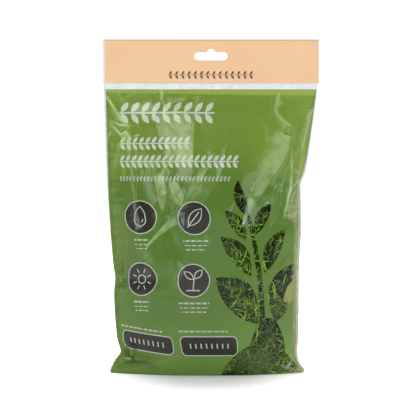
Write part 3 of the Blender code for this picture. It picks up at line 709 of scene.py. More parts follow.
def strewn_inside(outline, hole, spacing):
    """Points at even spacing between an outline and a hole, every other row shifted."""
    xs, zs = [p[0] for p in outline], [p[1] for p in outline]
    wide, high = max(xs) - min(xs), max(zs) - min(zs)
    across, upwards = int(wide / spacing), int(high / spacing)
    places = [
        (min(xs) + wide * (i + 0.5 * (j % 2) - 0.25) / across, min(zs) + high * j / upwards)
        for i in range(1, across) for j in range(1, upwards)]
    return [place for place in places if not inside_ring(*place, hole)]


def card(name, outline, hole, spacing, thickness):
    """A thin flat piece with a hole, finely triangulated and waved, closed on every side."""
    points, edges = [], []
    for ring in (outline, hole):
        first = len(points)
        points += ring
        edges += [(first + i, first + (i + 1) % len(ring)) for i in range(len(ring))]
    points = [Vector(p) for p in points + strewn_inside(outline, hole, spacing)]
    flat, _, triangles, *_ = delaunay_2d_cdt(points, edges, [], 0, MERGE_DISTANCE)
    flat = np.array([(p[0], p[1]) for p in flat])
    kept = [tuple(t) for t in triangles if not inside_ring(*flat[list(t)].mean(axis=0), hole)]
    (x0, z0), (x1, z1), (x2, z2) = flat[list(kept[0])]
    if (x1 - x0) * (z2 - z0) - (x2 - x0) * (z1 - z0) < 0:
        kept = [t[::-1] for t in kept]
    wave = card_wave(flat[:, 0], flat[:, 1])
    solid = [np.stack([flat[:, 0], wave + s * thickness / 2, flat[:, 1]], axis=1) for s in (-1, 1)]
    count = len(flat)
    faces = kept + [tuple(i + count for i in reversed(t)) for t in kept]
    borders = [edge for a, b, c in kept for edge in ((a, b), (b, c), (c, a))]
    shared = set(borders)
    faces += [(b, a, a + count, b + count) for a, b in borders if (b, a) not in shared]
    return new_object(name, np.concatenate(solid), faces, np.concatenate([flat, flat]))


def even_border(x0, x1, z0, z1, step):
    """A rectangle's outline with points at even steps, anticlockwise."""
    corners = [(x0, z0), (x1, z0), (x1, z1), (x0, z1), (x0, z0)]
    border = []
    for (ax, az), (bx, bz) in zip(corners, corners[1:]):
        count = int(max(abs(bx - ax), abs(bz - az)) / step)
        border += [(ax + (bx - ax) * i / count, az + (bz - az) * i / count) for i in range(count)]
    return border


CARD_STEP, CARD_THICKNESS = 0.0025, 0.0003
header_outline = even_border(-FILM_WIDTH / 2, FILM_WIDTH / 2, HEADER_BOTTOM, BAG_HEIGHT, CARD_STEP)
header = card("header_sheet", header_outline, slot_outline(), CARD_STEP, CARD_THICKNESS)
print("header:", len(header.data.polygons), "faces")

# %% [markdown]
# ## Welds
# The mouth weld is a clear band pressed between ribbed jaws: it keeps fine ridges along its whole
# length. The side welds are narrow clear strips, cut a little ragged, that follow the seams down to
# the two small ears at the base.

# %% Mouth weld and side welds
MOUTH_RIBS, MOUTH_COLUMNS = 9, 100
MOUTH_HALF, RIB_RELIEF, MOUTH_LIP, MOUTH_LAP = 0.00022, 0.00012, 0.00025, 0.0001
SIDE_ROWS = 330
SIDE_HALF, SIDE_RAGGED, SIDE_LAP = 0.00016, 0.00012, 0.0003
# Height, then how far the left and the right weld reach past their seam
WELD_OVERHANG = (
    (0.000, 0.0030, 0.0028), (0.004, 0.0019, 0.0017), (0.012, 0.0007, 0.0003),
    (0.050, 0.0009, 0.0006), (0.160, 0.0011, 0.0006), (0.240, 0.0016, 0.0002),
    (0.330, 0.0018, 0.0004),
)


def closed_strip(name, rings, uv_rings):
    """A strip made of closed rings of points, with its two ends filled."""
    rows, around = rings.shape[:2]
    faces = [
        (a + i, a + (i + 1) % around, a + around + (i + 1) % around, a + around + i)
        for a in range(0, (rows - 1) * around, around) for i in range(around)]
    faces.append(tuple(reversed(range(around))))
    faces.append(tuple(range((rows - 1) * around, rows * around)))
    return new_object(name, rings.reshape(-1, 3), faces, uv_rings.reshape(-1, 2))


def mouth_weld():
    """The ribbed clear band; its first ribs stand out a little to hold the edge of the film."""
    low, high = SEAL_BOTTOM, HEADER_BOTTOM + MOUTH_LAP
    z = np.linspace(low, high, 4 * MOUTH_RIBS + 1)
    half = MOUTH_HALF + RIB_RELIEF * np.abs(np.sin(np.pi * MOUTH_RIBS * (z - low) / (high - low)))
    half[:2] += MOUTH_LIP
    profile = [(-r, h) for r, h in zip(half, z)] + [(r, h) for r, h in zip(half[::-1], z[::-1])]
    left, right = seams_at(SHEET_TOP)
    left, right = left - WELD_OVERHANG[-1][1], right + WELD_OVERHANG[-1][2]
    rings, uvs = [], []
    for i in range(MOUTH_COLUMNS + 1):
        x = left + (right - left) * i / MOUTH_COLUMNS
        wave = float(card_wave(np.array([x]), np.array([HEADER_BOTTOM]))[0])
        rings.append([(x, y + wave * (h - low) / (high - low), h) for y, h in profile])
        uvs.append([(x, h) for _, h in profile])
    return closed_strip("mouth_weld_band", np.array(rings), np.array(uvs))


def side_weld(name, seam, seed):
    """The clear strip along the left (0) or right (1) seam, with a ragged cut."""
    draw = np.random.default_rng(seed)
    z = np.linspace(SHEET_BOTTOM, SHEET_TOP, SIDE_ROWS + 1)
    inward = 1 if seam == 0 else -1
    edge = seams_at(z)[seam] - inward * read_table(WELD_OVERHANG, 1 + seam, z)
    inner = seams_at(z)[seam] + inward * (SIDE_WELD_WIDTH + SIDE_LAP)
    edge = edge + inward * np.abs(SIDE_RAGGED * draw.standard_normal(SIDE_ROWS + 1))
    ruffle = seam_wave(z, seam)
    rings, uvs = [], []
    for share, side in ((0, -1), (0.5, -1), (1, -1), (1, 1), (0.5, 1), (0, 1)):
        rings.append(np.stack([edge + (inner - edge) * share, ruffle + side * SIDE_HALF, z], axis=1))
        uvs.append(np.stack([np.full_like(z, share * SIDE_WELD_WIDTH), z], axis=1))
    rings, uvs = np.stack(rings, axis=1), np.stack(uvs, axis=1)
    if seam == 1:
        rings, uvs = rings[:, ::-1], uvs[:, ::-1]
    return closed_strip(name, rings, uvs)


mouth = mouth_weld()
left_weld = side_weld("side_weld_strip_left", 0, 31)
right_weld = side_weld("side_weld_strip_right", 1, 32)
print("welds:", sum(len(weld.data.polygons) for weld in (mouth, left_weld, right_weld)), "faces")

# %% [markdown]
# ## Base
# The film folds under the bag and the filling spreads it flat, in the pointed-oval outline of the two
# panels. It is crumpled a little, and only its highest crumples leave the surface.

# %% The base film
BASE_ROWS, BASE_COLUMNS = 40, 110
BASE_RIM = 0.008


def base_sheet(name):
    """The fold that the bag stands on, with its crumples pressed flat at the rim."""
    left, right = (float(v) for v in panel_edges_at(0.0))
    along = np.linspace(-1, 1, BASE_COLUMNS + 1)[None, :] + np.zeros((BASE_ROWS + 1, 1))
    x = (left + right) / 2 + (right - left) / 2 * np.sin(along * math.pi / 2)
    reach = stand_out(x, 0.0) - SEAM_STAND_OFF + SHEET_LIFT
    y = np.linspace(-1, 1, BASE_ROWS + 1)[:, None] * reach
    creases = random_creases(41, 50, (-100, -30), (95, 30), (0.2, 1.0), (0.08, 0.20), (15, 50), 1.5)
    crumple = MM * np.abs(crease_field(x / MM, y / MM, creases))
    rim = np.clip((reach - np.abs(y)) / BASE_RIM, 0, 1)
    points = np.stack([x, y, SHEET_BOTTOM + crumple * rim], axis=-1)
    uv = np.stack([x, y], axis=-1)
    faces = grid_faces(BASE_ROWS, BASE_COLUMNS, flip=True)
    return new_object(name, points.reshape(-1, 3), faces, uv.reshape(-1, 2))


base = base_sheet("base_sheet")
print("base:", len(base.data.polygons), "faces")

# %% [markdown]
# ## Moss
# Reindeer moss is a lichen: a tangle of thin hollow twigs that fork again and again. Dried, dyed and
# packed, its tips press against the film. Modelling every clump by hand is hopeless, so a few forked
# twigs are drawn once, each of a few dozen faces, and Geometry Nodes strews thousands of them over
# and under the skin of every clump.

# %% Draw a few forked twigs
TWIG_SIDES = 3
TWIG_KINDS = 8
STEM_TAPER, BRANCH_TAPER = (1.0, 0.95, 0.85, 0.7), (0.7, 0.6)
STRAY, BRANCH_SPREAD = 0.6, 0.9
BRANCH_SHORTEST, BRANCH_LONGEST = 0.25, 0.45


def tube(points, radii, first_index):
    """A three-sided tube through the points, closed by a point at its far end."""
    verts, faces = [], []
    for i, (place, radius) in enumerate(zip(points[:-1], radii)):
        ahead = (points[i + 1] - place).normalized()
        aside = ahead.orthogonal().normalized()
        other = ahead.cross(aside)
        for k in range(TWIG_SIDES):
            angle = 2 * math.pi * k / TWIG_SIDES
            verts.append(place + radius * (math.cos(angle) * aside + math.sin(angle) * other))
    last = first_index + (len(points) - 2) * TWIG_SIDES
    for a in range(first_index, last, TWIG_SIDES):
        for k in range(TWIG_SIDES):
            b = (k + 1) % TWIG_SIDES
            faces.append((a + k, a + b, a + b + TWIG_SIDES, a + k + TWIG_SIDES))
    tip = first_index + len(verts)
    verts.append(points[-1])
    faces += [(last + k, last + (k + 1) % TWIG_SIDES, tip) for k in range(TWIG_SIDES)]
    faces.append(tuple(first_index + k for k in reversed(range(TWIG_SIDES))))
    return verts, faces


def any_way(draw):
    """A random vector that favours no direction."""
    return Vector((draw.gauss(0, 1), draw.gauss(0, 1), draw.gauss(0, 1)))


def wander(draw, start, heading, length, steps, sway):
    """Points of a stem that keeps bending a little as it grows."""
    points, place = [start], start
    bend = any_way(draw) * sway
    for _ in range(steps):
        heading = (heading + bend + any_way(draw) * sway * STRAY).normalized()
        place = place + heading * (length / steps)
        points.append(place)
    return points


def make_twig(name, seed, length, radius, forks, sway):
    """One stem with a few shorter branches."""
    draw = random.Random(seed)
    stem = wander(draw, Vector((-length / 2, 0, 0)), Vector((1, 0, 0)), length, 4, sway)
    verts, faces = tube(stem, [radius * taper for taper in STEM_TAPER], 0)
    for _ in range(forks):
        joint = draw.randint(1, 3)
        heading = (stem[joint + 1] - stem[joint]).normalized()
        heading = (heading + BRANCH_SPREAD * any_way(draw).normalized()).normalized()
        reach = length * draw.uniform(BRANCH_SHORTEST, BRANCH_LONGEST)
        branch = wander(draw, stem[joint], heading, reach, 2, sway)
        more_verts, more_faces = tube(branch, [radius * taper for taper in BRANCH_TAPER], len(verts))
        verts += more_verts
        faces += more_faces
    mesh = bpy.data.meshes.new(name)
    mesh.from_pydata(verts, [], faces)
    mesh.shade_smooth()
    return bpy.data.objects.new(name, mesh)


def twig_set(name, seed, length, radius, forks, sway):
    """A collection of different twigs of one kind."""
    kind = bpy.data.collections.new(name)
    bpy.context.scene.collection.children.link(kind)
    for i in range(TWIG_KINDS):
        kind.objects.link(make_twig(f"{name}_{i}", seed + i, length, radius, forks, sway))
    return kind


long_twigs = twig_set("long_twigs", 300, 0.032, 0.00088, 3, 0.36)
fine_twigs = twig_set("fine_twigs", 400, 0.014, 0.00050, 3, 0.55)

# %% [markdown]
# Node trees are built in the same few steps again and again: make a node, choose its options, and
# feed each input a value or a link. Two helpers do that for the whole lesson.

# %% One node at a time
def feed(tree, value, socket):
    """Link a socket to another one, or give it a number, a word or a colour."""
    value = getattr(value, "socket", value)
    if isinstance(value, bpy.types.NodeSocket):
        tree.links.new(value, socket)
    elif isinstance(value, tuple):
        socket.default_value = (*value, 1.0)
    else:
        socket.default_value = value


def add_node(tree, kind, inputs=None, **options):
    """A new node with its options set and its inputs fed, by name or by number."""
    node = tree.nodes.new(kind)
    for option, value in options.items():
        setattr(node, option, value)
    for key, value in (inputs or {}).items():
        feed(tree, value, node.inputs[key])
    return node


# %% [markdown]
# The node tree below is the planting machine. It strews points over a clump's skin, sinks each one by
# a random depth, lays a random twig there, gives it a tone for the dye, and makes it all plain mesh.

# %% The planting tree
PLANTING_SIZES = (
    "Twigs per square metre", "Deepest", "Smallest", "Largest", "Lean", "Tone low", "Tone high")


def planting_tree():
    """The node group that grows twigs on a skin."""
    tree = bpy.data.node_groups.new("plant moss", "GeometryNodeTree")
    sockets = [("Geometry", "Geometry")] + [(label, "Float") for label in PLANTING_SIZES]
    sockets += [("Seed", "Int"), ("Twigs", "Collection"), ("Finish", "Material")]
    for label, kind in sockets:
        tree.interface.new_socket(label, in_out="INPUT", socket_type="NodeSocket" + kind)
    tree.interface.new_socket("Geometry", in_out="OUTPUT", socket_type="NodeSocketGeometry")
    given = add_node(tree, "NodeGroupInput").outputs

    def maths(operation, first, second):
        return add_node(tree, "ShaderNodeMath", {0: first, 1: second}, operation=operation).outputs[0]

    def chance(low, high, offset, data_type="FLOAT"):
        node = add_node(tree, "FunctionNodeRandomValue", data_type=data_type)
        ends = [s for s in node.inputs if s.enabled and s.name in ("Min", "Max")]
        for value, socket in zip((low, high), ends):
            feed(tree, value, socket)
        feed(tree, maths("ADD", given["Seed"], offset), node.inputs["Seed"])
        return next(s for s in node.outputs if s.enabled)

    fullness = add_node(tree, "GeometryNodeInputNamedAttribute", {"Name": "fullness"})
    density = maths("MULTIPLY", given["Twigs per square metre"], fullness.outputs["Attribute"])
    strew = add_node(tree, "GeometryNodeDistributePointsOnFaces", {
        "Mesh": given["Geometry"], "Density": density, "Seed": given["Seed"]})
    sunk = maths("MULTIPLY", chance(0.0, given["Deepest"], 1), -1.0)
    offset = add_node(tree, "ShaderNodeVectorMath", {
        0: strew.outputs["Normal"], "Scale": sunk}, operation="SCALE")
    moved = add_node(tree, "GeometryNodeSetPosition", {
        "Geometry": strew.outputs["Points"], "Offset": offset.outputs[0]})

    full_turn = 2 * math.pi
    angles = add_node(tree, "ShaderNodeCombineXYZ", {
        "X": chance(0.0, full_turn, 2),
        "Y": chance(maths("MULTIPLY", given["Lean"], -1.0), given["Lean"], 3),
        "Z": chance(0.0, full_turn, 4)})
    spin = add_node(tree, "FunctionNodeEulerToRotation", {0: angles.outputs[0]})
    turn = add_node(tree, "FunctionNodeRotateRotation", {
        "Rotation": strew.outputs["Rotation"], "Rotate By": spin.outputs[0]}, rotation_space="LOCAL")

    kinds = add_node(tree, "GeometryNodeCollectionInfo", {
        "Collection": given["Twigs"], "Separate Children": True, "Reset Children": True})
    plant = add_node(tree, "GeometryNodeInstanceOnPoints", {
        "Points": moved.outputs[0], "Instance": kinds.outputs[0], "Pick Instance": True,
        "Instance Index": chance(0, TWIG_KINDS - 1, 5, "INT"), "Rotation": turn.outputs[0],
        "Scale": chance(given["Smallest"], given["Largest"], 6)})
    tone = add_node(tree, "GeometryNodeStoreNamedAttribute", {
        "Geometry": plant.outputs[0], "Name": "tone",
        "Value": chance(given["Tone low"], given["Tone high"], 7),
    }, data_type="FLOAT", domain="INSTANCE")
    real = add_node(tree, "GeometryNodeRealizeInstances", {0: tone.outputs[0]})
    finish = add_node(tree, "GeometryNodeSetMaterial", {
        "Geometry": real.outputs[0], "Material": given["Finish"]})
    add_node(tree, "NodeGroupOutput", {0: finish.outputs[0]})
    return tree


planting = planting_tree()
print("planting tree:", len(planting.nodes), "nodes")

# %% [markdown]
# A clump starts as a ball squared off towards the room that it has in the bag, and as thick as the
# film lets it be. Where the bag has a hollow corner its skin is marked as bare, and behind the clear
# area it is planted more densely.

# %% The room of a clump, and its skin
# x and z of the middle, half the width, half the height, and a seed
CLUMPS = (
    (-0.0715, 0.0395, 0.0345, 0.0380, 4111),
    (-0.0010, 0.0370, 0.0350, 0.0355, 4102),
    (0.0655, 0.0400, 0.0305, 0.0385, 4103),
    (-0.0700, 0.1165, 0.0360, 0.0380, 4104),
    (0.0010, 0.1120, 0.0340, 0.0385, 4105),
    (0.0675, 0.1180, 0.0315, 0.0385, 4126),
    (-0.0480, 0.1940, 0.0560, 0.0380, 4107),
    (0.0510, 0.1930, 0.0420, 0.0365, 4108),
)
SQUARENESS = 6.0
OVERGROWTH = 0.0035
FILM_CLEARANCE, INK_CLEARANCE, STEEPEST = 0.0012, 0.0030, 0.25
WINDOW_LEFT, WINDOW_FULLNESS = 0.010, 1.9
SKIN_LOW, SKIN_HIGH, SKIN_FROM_SEAM, SKIN_THINNEST = 0.003, 0.232, 0.002, 0.001
# Middle and reach of the hollow corner
HOLLOW = ((0.0985, 0.0920), (0.0205, 0.0175))
HOLLOW_START, HOLLOW_FADE, HOLLOW_FULLNESS = 0.85, 0.4, 0.06


def room_depth(x, z):
    """Half the free depth between the two films."""
    _, _, long = slopes_at(x, z)
    clearance = np.where(x < WINDOW_LEFT, INK_CLEARANCE, FILM_CLEARANCE)
    return stand_out(x, z) - clearance / np.maximum(1 / long, STEEPEST)


def from_hollow(x, z):
    """How far a place is from the middle of the hollow corner, as a share of its reach."""
    (middle_x, middle_z), (reach_x, reach_z) = HOLLOW
    return np.hypot((x - middle_x) / reach_x, (z - middle_z) / reach_z)


def clump_skin(name, room, shrink):
    """The squared-off ball that twigs are planted on."""
    centre_x, centre_z, half_width, half_height, _ = room
    bm = bmesh.new()
    bmesh.ops.create_icosphere(bm, subdivisions=4, radius=1.0)
    unit = np.array([v.co for v in bm.verts])
    faces = [tuple(v.index for v in f.verts) for f in bm.faces]
    bm.free()
    unit /= (np.abs(unit) ** SQUARENESS).sum(axis=1, keepdims=True) ** (1 / SQUARENESS)
    x = centre_x + (half_width + OVERGROWTH - shrink) * unit[:, 0]
    z = np.clip(centre_z + (half_height + OVERGROWTH - shrink) * unit[:, 2], SKIN_LOW, SKIN_HIGH)
    left, right = panel_edges_at(z)
    x = np.clip(x, left + SKIN_FROM_SEAM, right - SKIN_FROM_SEAM)
    y = np.maximum(room_depth(x, z) - shrink, SKIN_THINNEST) * unit[:, 1]
    skin = new_object(name, np.stack([x, y, z], axis=1), faces)
    fullness = np.clip((from_hollow(x, z) - HOLLOW_START) / HOLLOW_FADE, HOLLOW_FULLNESS, 1.0)
    fullness *= np.where((x > WINDOW_LEFT) & (y < 0), WINDOW_FULLNESS, 1.0)
    paint(skin, "fullness", fullness)
    return skin


def grow(skin, inputs):
    """Run the planting tree on a skin and return its points, faces and tones."""
    machine = skin.modifiers.new("moss", "NODES")
    machine.node_group = planting
    for item in planting.interface.items_tree:
        if item.item_type == "SOCKET" and item.in_out == "INPUT" and item.name in inputs:
            machine[item.identifier] = inputs[item.name]
    bpy.context.view_layer.update()
    graph = bpy.context.evaluated_depsgraph_get()
    mesh = bpy.data.meshes.new_from_object(skin.evaluated_get(graph), depsgraph=graph)
    skin.modifiers.clear()
    points = np.empty(len(mesh.vertices) * 3)
    mesh.vertices.foreach_get("co", points)
    tones = np.empty(len(mesh.vertices), np.float32)
    mesh.attributes["tone"].data.foreach_get("value", tones)
    faces = [tuple(p.vertices) for p in mesh.polygons]
    bpy.data.meshes.remove(mesh)
    return points.reshape(-1, 3), faces, tones


# %% [markdown]
# Twigs stick out of the skin, as they should, but the film would hold them back. So every point that
# went too far is pressed against the inside of the film, its dents included, and out of the hollow.
# A dark heart fills the middle of each clump, so that no light shines through it; its dark tone is
# painted shade for the clump's depths.

# %% Press the twigs into the bag
HOLLOW_RIM, HOLLOW_RIM_WAVES = 0.78, ((0.10, 2, 0.0031), (0.06, 0, 0.0017))
PRESSED_LOW, PRESSED_HIGH, PRESSED_FROM_SEAM = 0.0012, 0.240, 0.0012
BACK_DENT_SHARE, BACK_DENT_SPARE = 1.4, 0.0004
THINNEST_FRONT, THINNEST_BACK = 0.0002, 0.0004
# How deep the dark heart lies, and its tone of painted shade
HEART_DEPTH, HEART_SHADE_TONE = 0.009, 0.04
# The twigs to plant, and their numbers in the order of PLANTING_SIZES
PLANS = (
    (long_twigs, (11000.0, 0.006, 0.5, 1.15, 0.35, 0.35, 1.05)),
    (fine_twigs, (36000.0, 0.012, 0.7, 1.2, 0.7, 0.08, 0.50)),
)
SEED_STEP = 50


def kept_inside(points):
    """Press what would stick out of the bag back against the inside of the film."""
    x, z = points[:, 0], points[:, 2]
    middle_x, middle_z = HOLLOW[0]
    rim = HOLLOW_RIM
    for height, axis, length in HOLLOW_RIM_WAVES:
        rim = rim + height * np.sin(points[:, axis] / length)
    push = rim / np.clip(from_hollow(x, z), 0.02, rim)
    x, z = middle_x + (x - middle_x) * push, middle_z + (z - middle_z) * push
    z = np.clip(z, PRESSED_LOW, PRESSED_HIGH)
    left, right = panel_edges_at(z)
    x = np.clip(x, left + PRESSED_FROM_SEAM, right - PRESSED_FROM_SEAM)
    deep = room_depth(x, z)
    dent = MM * np.minimum(crease_field(x / MM, z / MM, FRONT_CREASES), 0)
    back_dent = np.minimum(crease_field(x / MM, z / MM, FINE_BACK), 0)
    back_dent = MM * BACK_DENT_SHARE * back_dent - BACK_DENT_SPARE
    ahead = np.maximum(deep + dent, THINNEST_FRONT)
    behind = np.maximum(deep + back_dent, THINNEST_BACK)
    return np.stack([x, np.clip(points[:, 1], -ahead, behind), z], axis=1)


def moss_clump(number, room):
    """One clump: long twigs, fine twigs and a dark heart, joined to one mesh."""
    parts = []
    for i, (twigs, sizes) in enumerate(PLANS):
        skin = clump_skin("skin", room, 0.0)
        inputs = dict(zip(PLANTING_SIZES, sizes))
        inputs.update({"Seed": room[4] + SEED_STEP * i, "Twigs": twigs, "Finish": moss_finish})
        parts.append(grow(skin, inputs))
        bpy.data.objects.remove(skin)
    heart = clump_skin("heart", room, HEART_DEPTH)
    heart_points = np.array([v.co for v in heart.data.vertices])
    heart_faces = [tuple(p.vertices) for p in heart.data.polygons]
    bpy.data.objects.remove(heart)
    parts.append((heart_points, heart_faces, np.full(len(heart_points), HEART_SHADE_TONE, np.float32)))
    points, faces, tones, first = [], [], [], 0
    for part_points, part_faces, part_tones in parts:
        points.append(kept_inside(part_points))
        faces += [tuple(i + first for i in face) for face in part_faces]
        tones.append(part_tones)
        first += len(part_points)
    clump = new_object(f"moss_growth_{number:02d}", np.concatenate(points), faces)
    paint(clump, "tone", np.concatenate(tones))
    clump.data.materials.append(moss_finish)
    return clump


# %% [markdown]
# ## Finishes as formulas
# A finish is a small formula in a node tree. Writing `u * 2 + 1` is easier to read than a page of
# nodes, so a Field stands for a number that varies over a surface, and each sign adds its Math node.

# %% Write node trees as formulas
class Field:
    """A number that varies over a surface: one socket of a material's node tree."""

    def __init__(self, tree, socket):
        self.tree, self.socket = tree, socket

    def maths(self, operation, *others):
        values = dict(enumerate((self, *others)))
        node = add_node(self.tree, "ShaderNodeMath", values, operation=operation)
        return Field(self.tree, node.outputs[0])

    def __add__(self, other):
        return self.maths("ADD", other)

    def __sub__(self, other):
        return self.maths("SUBTRACT", other)

    def __rsub__(self, other):
        return self.maths("MULTIPLY_ADD", -1.0, other)

    def __mul__(self, other):
        return self.maths("MULTIPLY", other)

    def __truediv__(self, other):
        return self.maths("DIVIDE", other)

    def __abs__(self):
        return self.maths("ABSOLUTE")

    def least(self, other):
        return self.maths("MINIMUM", other)

    def most(self, other):
        return self.maths("MAXIMUM", other)

    def within(self, pitch):
        """The rest after taking away whole pitches, centred on zero."""
        return self.maths("FLOORED_MODULO", pitch) - pitch / 2

    def under(self, edge):
        return self.maths("LESS_THAN", edge)

    def ramp(self, low, high):
        """0 below low, 1 above high, smooth between."""
        node = add_node(self.tree, "ShaderNodeMapRange", {
            "Value": self, "From Min": low, "From Max": high}, interpolation_type="SMOOTHSTEP")
        return Field(self.tree, node.outputs["Result"])


def split(tree, vector):
    """The three numbers of a vector, each as a Field."""
    node = add_node(tree, "ShaderNodeSeparateXYZ", {0: vector})
    return [Field(tree, socket) for socket in node.outputs]


def film_place(tree):
    """The two film coordinates, in metres, from the sheet's own UV map."""
    chart = add_node(tree, "ShaderNodeUVMap", uv_map="Film")
    return split(tree, chart.outputs[0])[:2]


def object_place(tree):
    """The place on the object itself, in metres, as one vector socket."""
    return add_node(tree, "ShaderNodeTexCoord").outputs["Object"]


def noise(tree, scale, detail, roughness=0.5):
    """Cloudy variation on the object's own coordinates, from 0 to 1."""
    cloud = add_node(tree, "ShaderNodeTexNoise", {
        "Vector": object_place(tree), "Scale": scale, "Detail": detail, "Roughness": roughness})
    return Field(tree, cloud.outputs[0])


# %% [markdown]
# The last helpers put colours over each other, mix shaders and make an empty material. A value that
# is the same all over a surface goes straight into the shader's own socket.

# %% Colours, shaders and an empty finish
def new_finish(name):
    """An empty material and its tree."""
    finish = bpy.data.materials.new(name)
    finish.use_nodes = True
    finish.node_tree.nodes.clear()
    return finish, finish.node_tree


def mixed(tree, factor, first, second):
    """One colour over another; each is a colour socket or a plain red, green, blue."""
    node = add_node(tree, "ShaderNodeMix", data_type="RGBA")
    ports = [s for s in node.inputs if s.enabled]
    for value, socket in zip((factor, first, second), ports):
        feed(tree, value, socket)
    return next(s for s in node.outputs if s.enabled)


def shader(tree, kind, **settings):
    """A shader node; a setting is a number, a colour, a Field or a socket."""
    inputs = {label.replace("_", " "): value for label, value in settings.items()}
    return add_node(tree, "ShaderNode" + kind, inputs).outputs[0]


def blended(tree, factor, first, second):
    """Two shaders mixed by a factor."""
    return add_node(tree, "ShaderNodeMixShader", {0: factor, 1: first, 2: second}).outputs[0]


def ripple(tree, height, distance, strength):
    """A bump whose height field is in metres times distance."""
    return add_node(tree, "ShaderNodeBump", {
        "Height": height, "Distance": distance, "Strength": strength}).outputs[0]


def finished(tree, surface):
    """Give the material its surface."""
    add_node(tree, "ShaderNodeOutputMaterial", {"Surface": surface})


# %% [markdown]
# ## Shapes in the print
# Each printed shape is a formula that is negative inside and positive outside, in metres. Joining
# two shapes takes the smaller value, and a line along an outline is where the value is close to zero.

# %% Leaf, spot, bar
def turned(u, v, centre, turn):
    """Coordinates along and across a shape that is turned about its centre."""
    across, up = u - centre[0], v - centre[1]
    c, s = math.cos(turn), math.sin(turn)
    return across * c + up * s, up * c - across * s


def far_out(across, up):
    """Distance from the point where both numbers are zero."""
    return (across * across + up * up).maths("SQRT")


def leaf(u, v, centre, length, width, turn, bend=0.0):
    """A pointed leaf between two parabolas; bend curves its midrib."""
    along, across = turned(u, v, centre, turn)
    if bend:
        across = across - along * along * bend
    share = along / length
    return abs(across) + share * share * width - width


def spot(u, v, centre, radius):
    """A round spot."""
    return far_out(u - centre[0], v - centre[1]) - radius


def bar(u, v, centre, length, width, corner, turn=0.0):
    """A bar with round corners; length and width are halves."""
    along, across = turned(u, v, centre, turn) if turn else (u - centre[0], v - centre[1])
    out_along = abs(along) - (length - corner)
    out_across = abs(across) - (width - corner)
    outside = far_out(out_along.most(0.0), out_across.most(0.0))
    return outside + out_along.most(out_across).least(0.0) - corner


def joined(*shapes):
    """One shape out of many."""
    shape = shapes[0]
    for other in shapes[1:]:
        shape = shape.least(other)
    return shape


def outline(shape, half_width):
    """A line along a shape's edge."""
    return abs(shape) - half_width


def cut_to(shape, other):
    """What two shapes share."""
    return shape.most(other)


# %% [markdown]
# The four dark spots each carry a plain sign: a drop, a leaf, a sun and a sprout. They are drawn with
# thin pale lines, as the rest of the print is.

# %% The four signs
LINE = 0.00062


def leaf_sign(u, v, c):
    blade = leaf(u, v, (c[0] + 0.0010, c[1] + 0.0010), 0.0125, 0.0062, math.radians(52))
    vein = bar(u, v, (c[0] - 0.0012, c[1] - 0.0018), 0.0115, LINE, LINE, math.radians(52))
    return joined(outline(blade, LINE), vein)


def drop_sign(u, v, c):
    belly = spot(u, v, (c[0], c[1] - 0.0035), 0.0066)
    point = leaf(u, v, (c[0], c[1] + 0.0005), 0.0120, 0.0060, math.radians(90))
    gleam = bar(u, v, (c[0] + 0.0026, c[1] - 0.0040), 0.0021, LINE, LINE, math.radians(70))
    return joined(outline(belly.least(point), LINE), gleam)


def sun_sign(u, v, c):
    across, up = u - c[0], v - c[1]
    far = far_out(across, up)
    angle = up.maths("ARCTAN2", across)
    near = (angle + 2 * math.pi).within(math.pi / 4)
    along, aside = far * near.maths("COSINE"), far * near.maths("SINE")
    ray = bar(along, aside, (0.0102, 0.0), 0.0026, LINE, LINE)
    return joined(outline(far - 0.0048, LINE), ray)


def sprout_sign(u, v, c):
    stem = bar(u, v, (c[0], c[1] - 0.0040), 0.0072, LINE, LINE, math.radians(90))
    ground = bar(u, v, (c[0], c[1] - 0.0115), 0.0082, LINE, LINE)
    one = leaf(u, v, (c[0] - 0.0056, c[1] + 0.0058), 0.0068, 0.0033, math.radians(140))
    two = leaf(u, v, (c[0] + 0.0056, c[1] + 0.0072), 0.0068, 0.0033, math.radians(44))
    return joined(stem, ground, outline(one, LINE), outline(two, LINE))


SPOT_RADIUS = 0.0188
# Middle of the spot, how much it is stretched, and its sign
SIGNS = (
    ((-0.0784, 0.1822), 0.87, drop_sign),
    ((-0.0115, 0.1814), 1.0, leaf_sign),
    ((-0.0804, 0.1107), 0.90, sun_sign),
    ((-0.0141, 0.1098), 1.0, sprout_sign),
)
# Middle, half length, half width and turn
BARS = (
    ((-0.0782, 0.0374), 0.0360, 0.0104, math.radians(-6)),
    ((0.0027, 0.0342), 0.0350, 0.0110, 0.0),
)

# %% [markdown]
# What repeats along a line is drawn once: the film coordinate is folded into one cell, so that one
# pair of leaves becomes a whole garland. Small print is too fine to read from afar, so it is a broken
# rule of uneven dashes.

# %% Garlands and broken rules
ROW_LEAF_FOOT, ROW_LEAF_LENGTH, ROW_LEAF_WIDTH = 0.72, 0.78, 0.36
ROW_LEAF_TURN, ROW_HEIGHT = math.radians(52), 1.6
DASH_PITCHES, DASH_TURN, DASH_GAP = (0.0031, 0.0073), 6.283, 0.55


def leaf_row(u, v, left, right, middle, cell, size, stem):
    """A garland: pairs of leaves along a stem, repeated by taking the rest of u."""
    local = (u - left).within(cell)
    height = abs(v - middle)
    blade = leaf(local, height, (0.0, size * ROW_LEAF_FOOT), size * ROW_LEAF_LENGTH,
                 size * ROW_LEAF_WIDTH, ROW_LEAF_TURN)
    inside = bar(u, v, ((left + right) / 2, middle), (right - left) / 2, size * ROW_HEIGHT, 0.001)
    return cut_to(blade.least(height - stem), inside)


def caption(u, v, centre, half_length, half_height, seed, turn=0.0):
    """A broken rule: short dashes of uneven length, as small print looks from afar."""
    along, _ = turned(u, v, centre, turn)
    short, long = (
        (along * (DASH_TURN / pitch) + k * seed).maths("SINE")
        for k, pitch in enumerate(DASH_PITCHES, 1))
    envelope = bar(u, v, centre, half_length, half_height, half_height * 0.9, turn)
    return cut_to(envelope, (DASH_GAP - (short + long)) * -0.001)


# %% [markdown]
# The clear area shows the moss. It is a plain sprig that grows out of a mound: seven leaves and a
# bending stem, left free of ink.

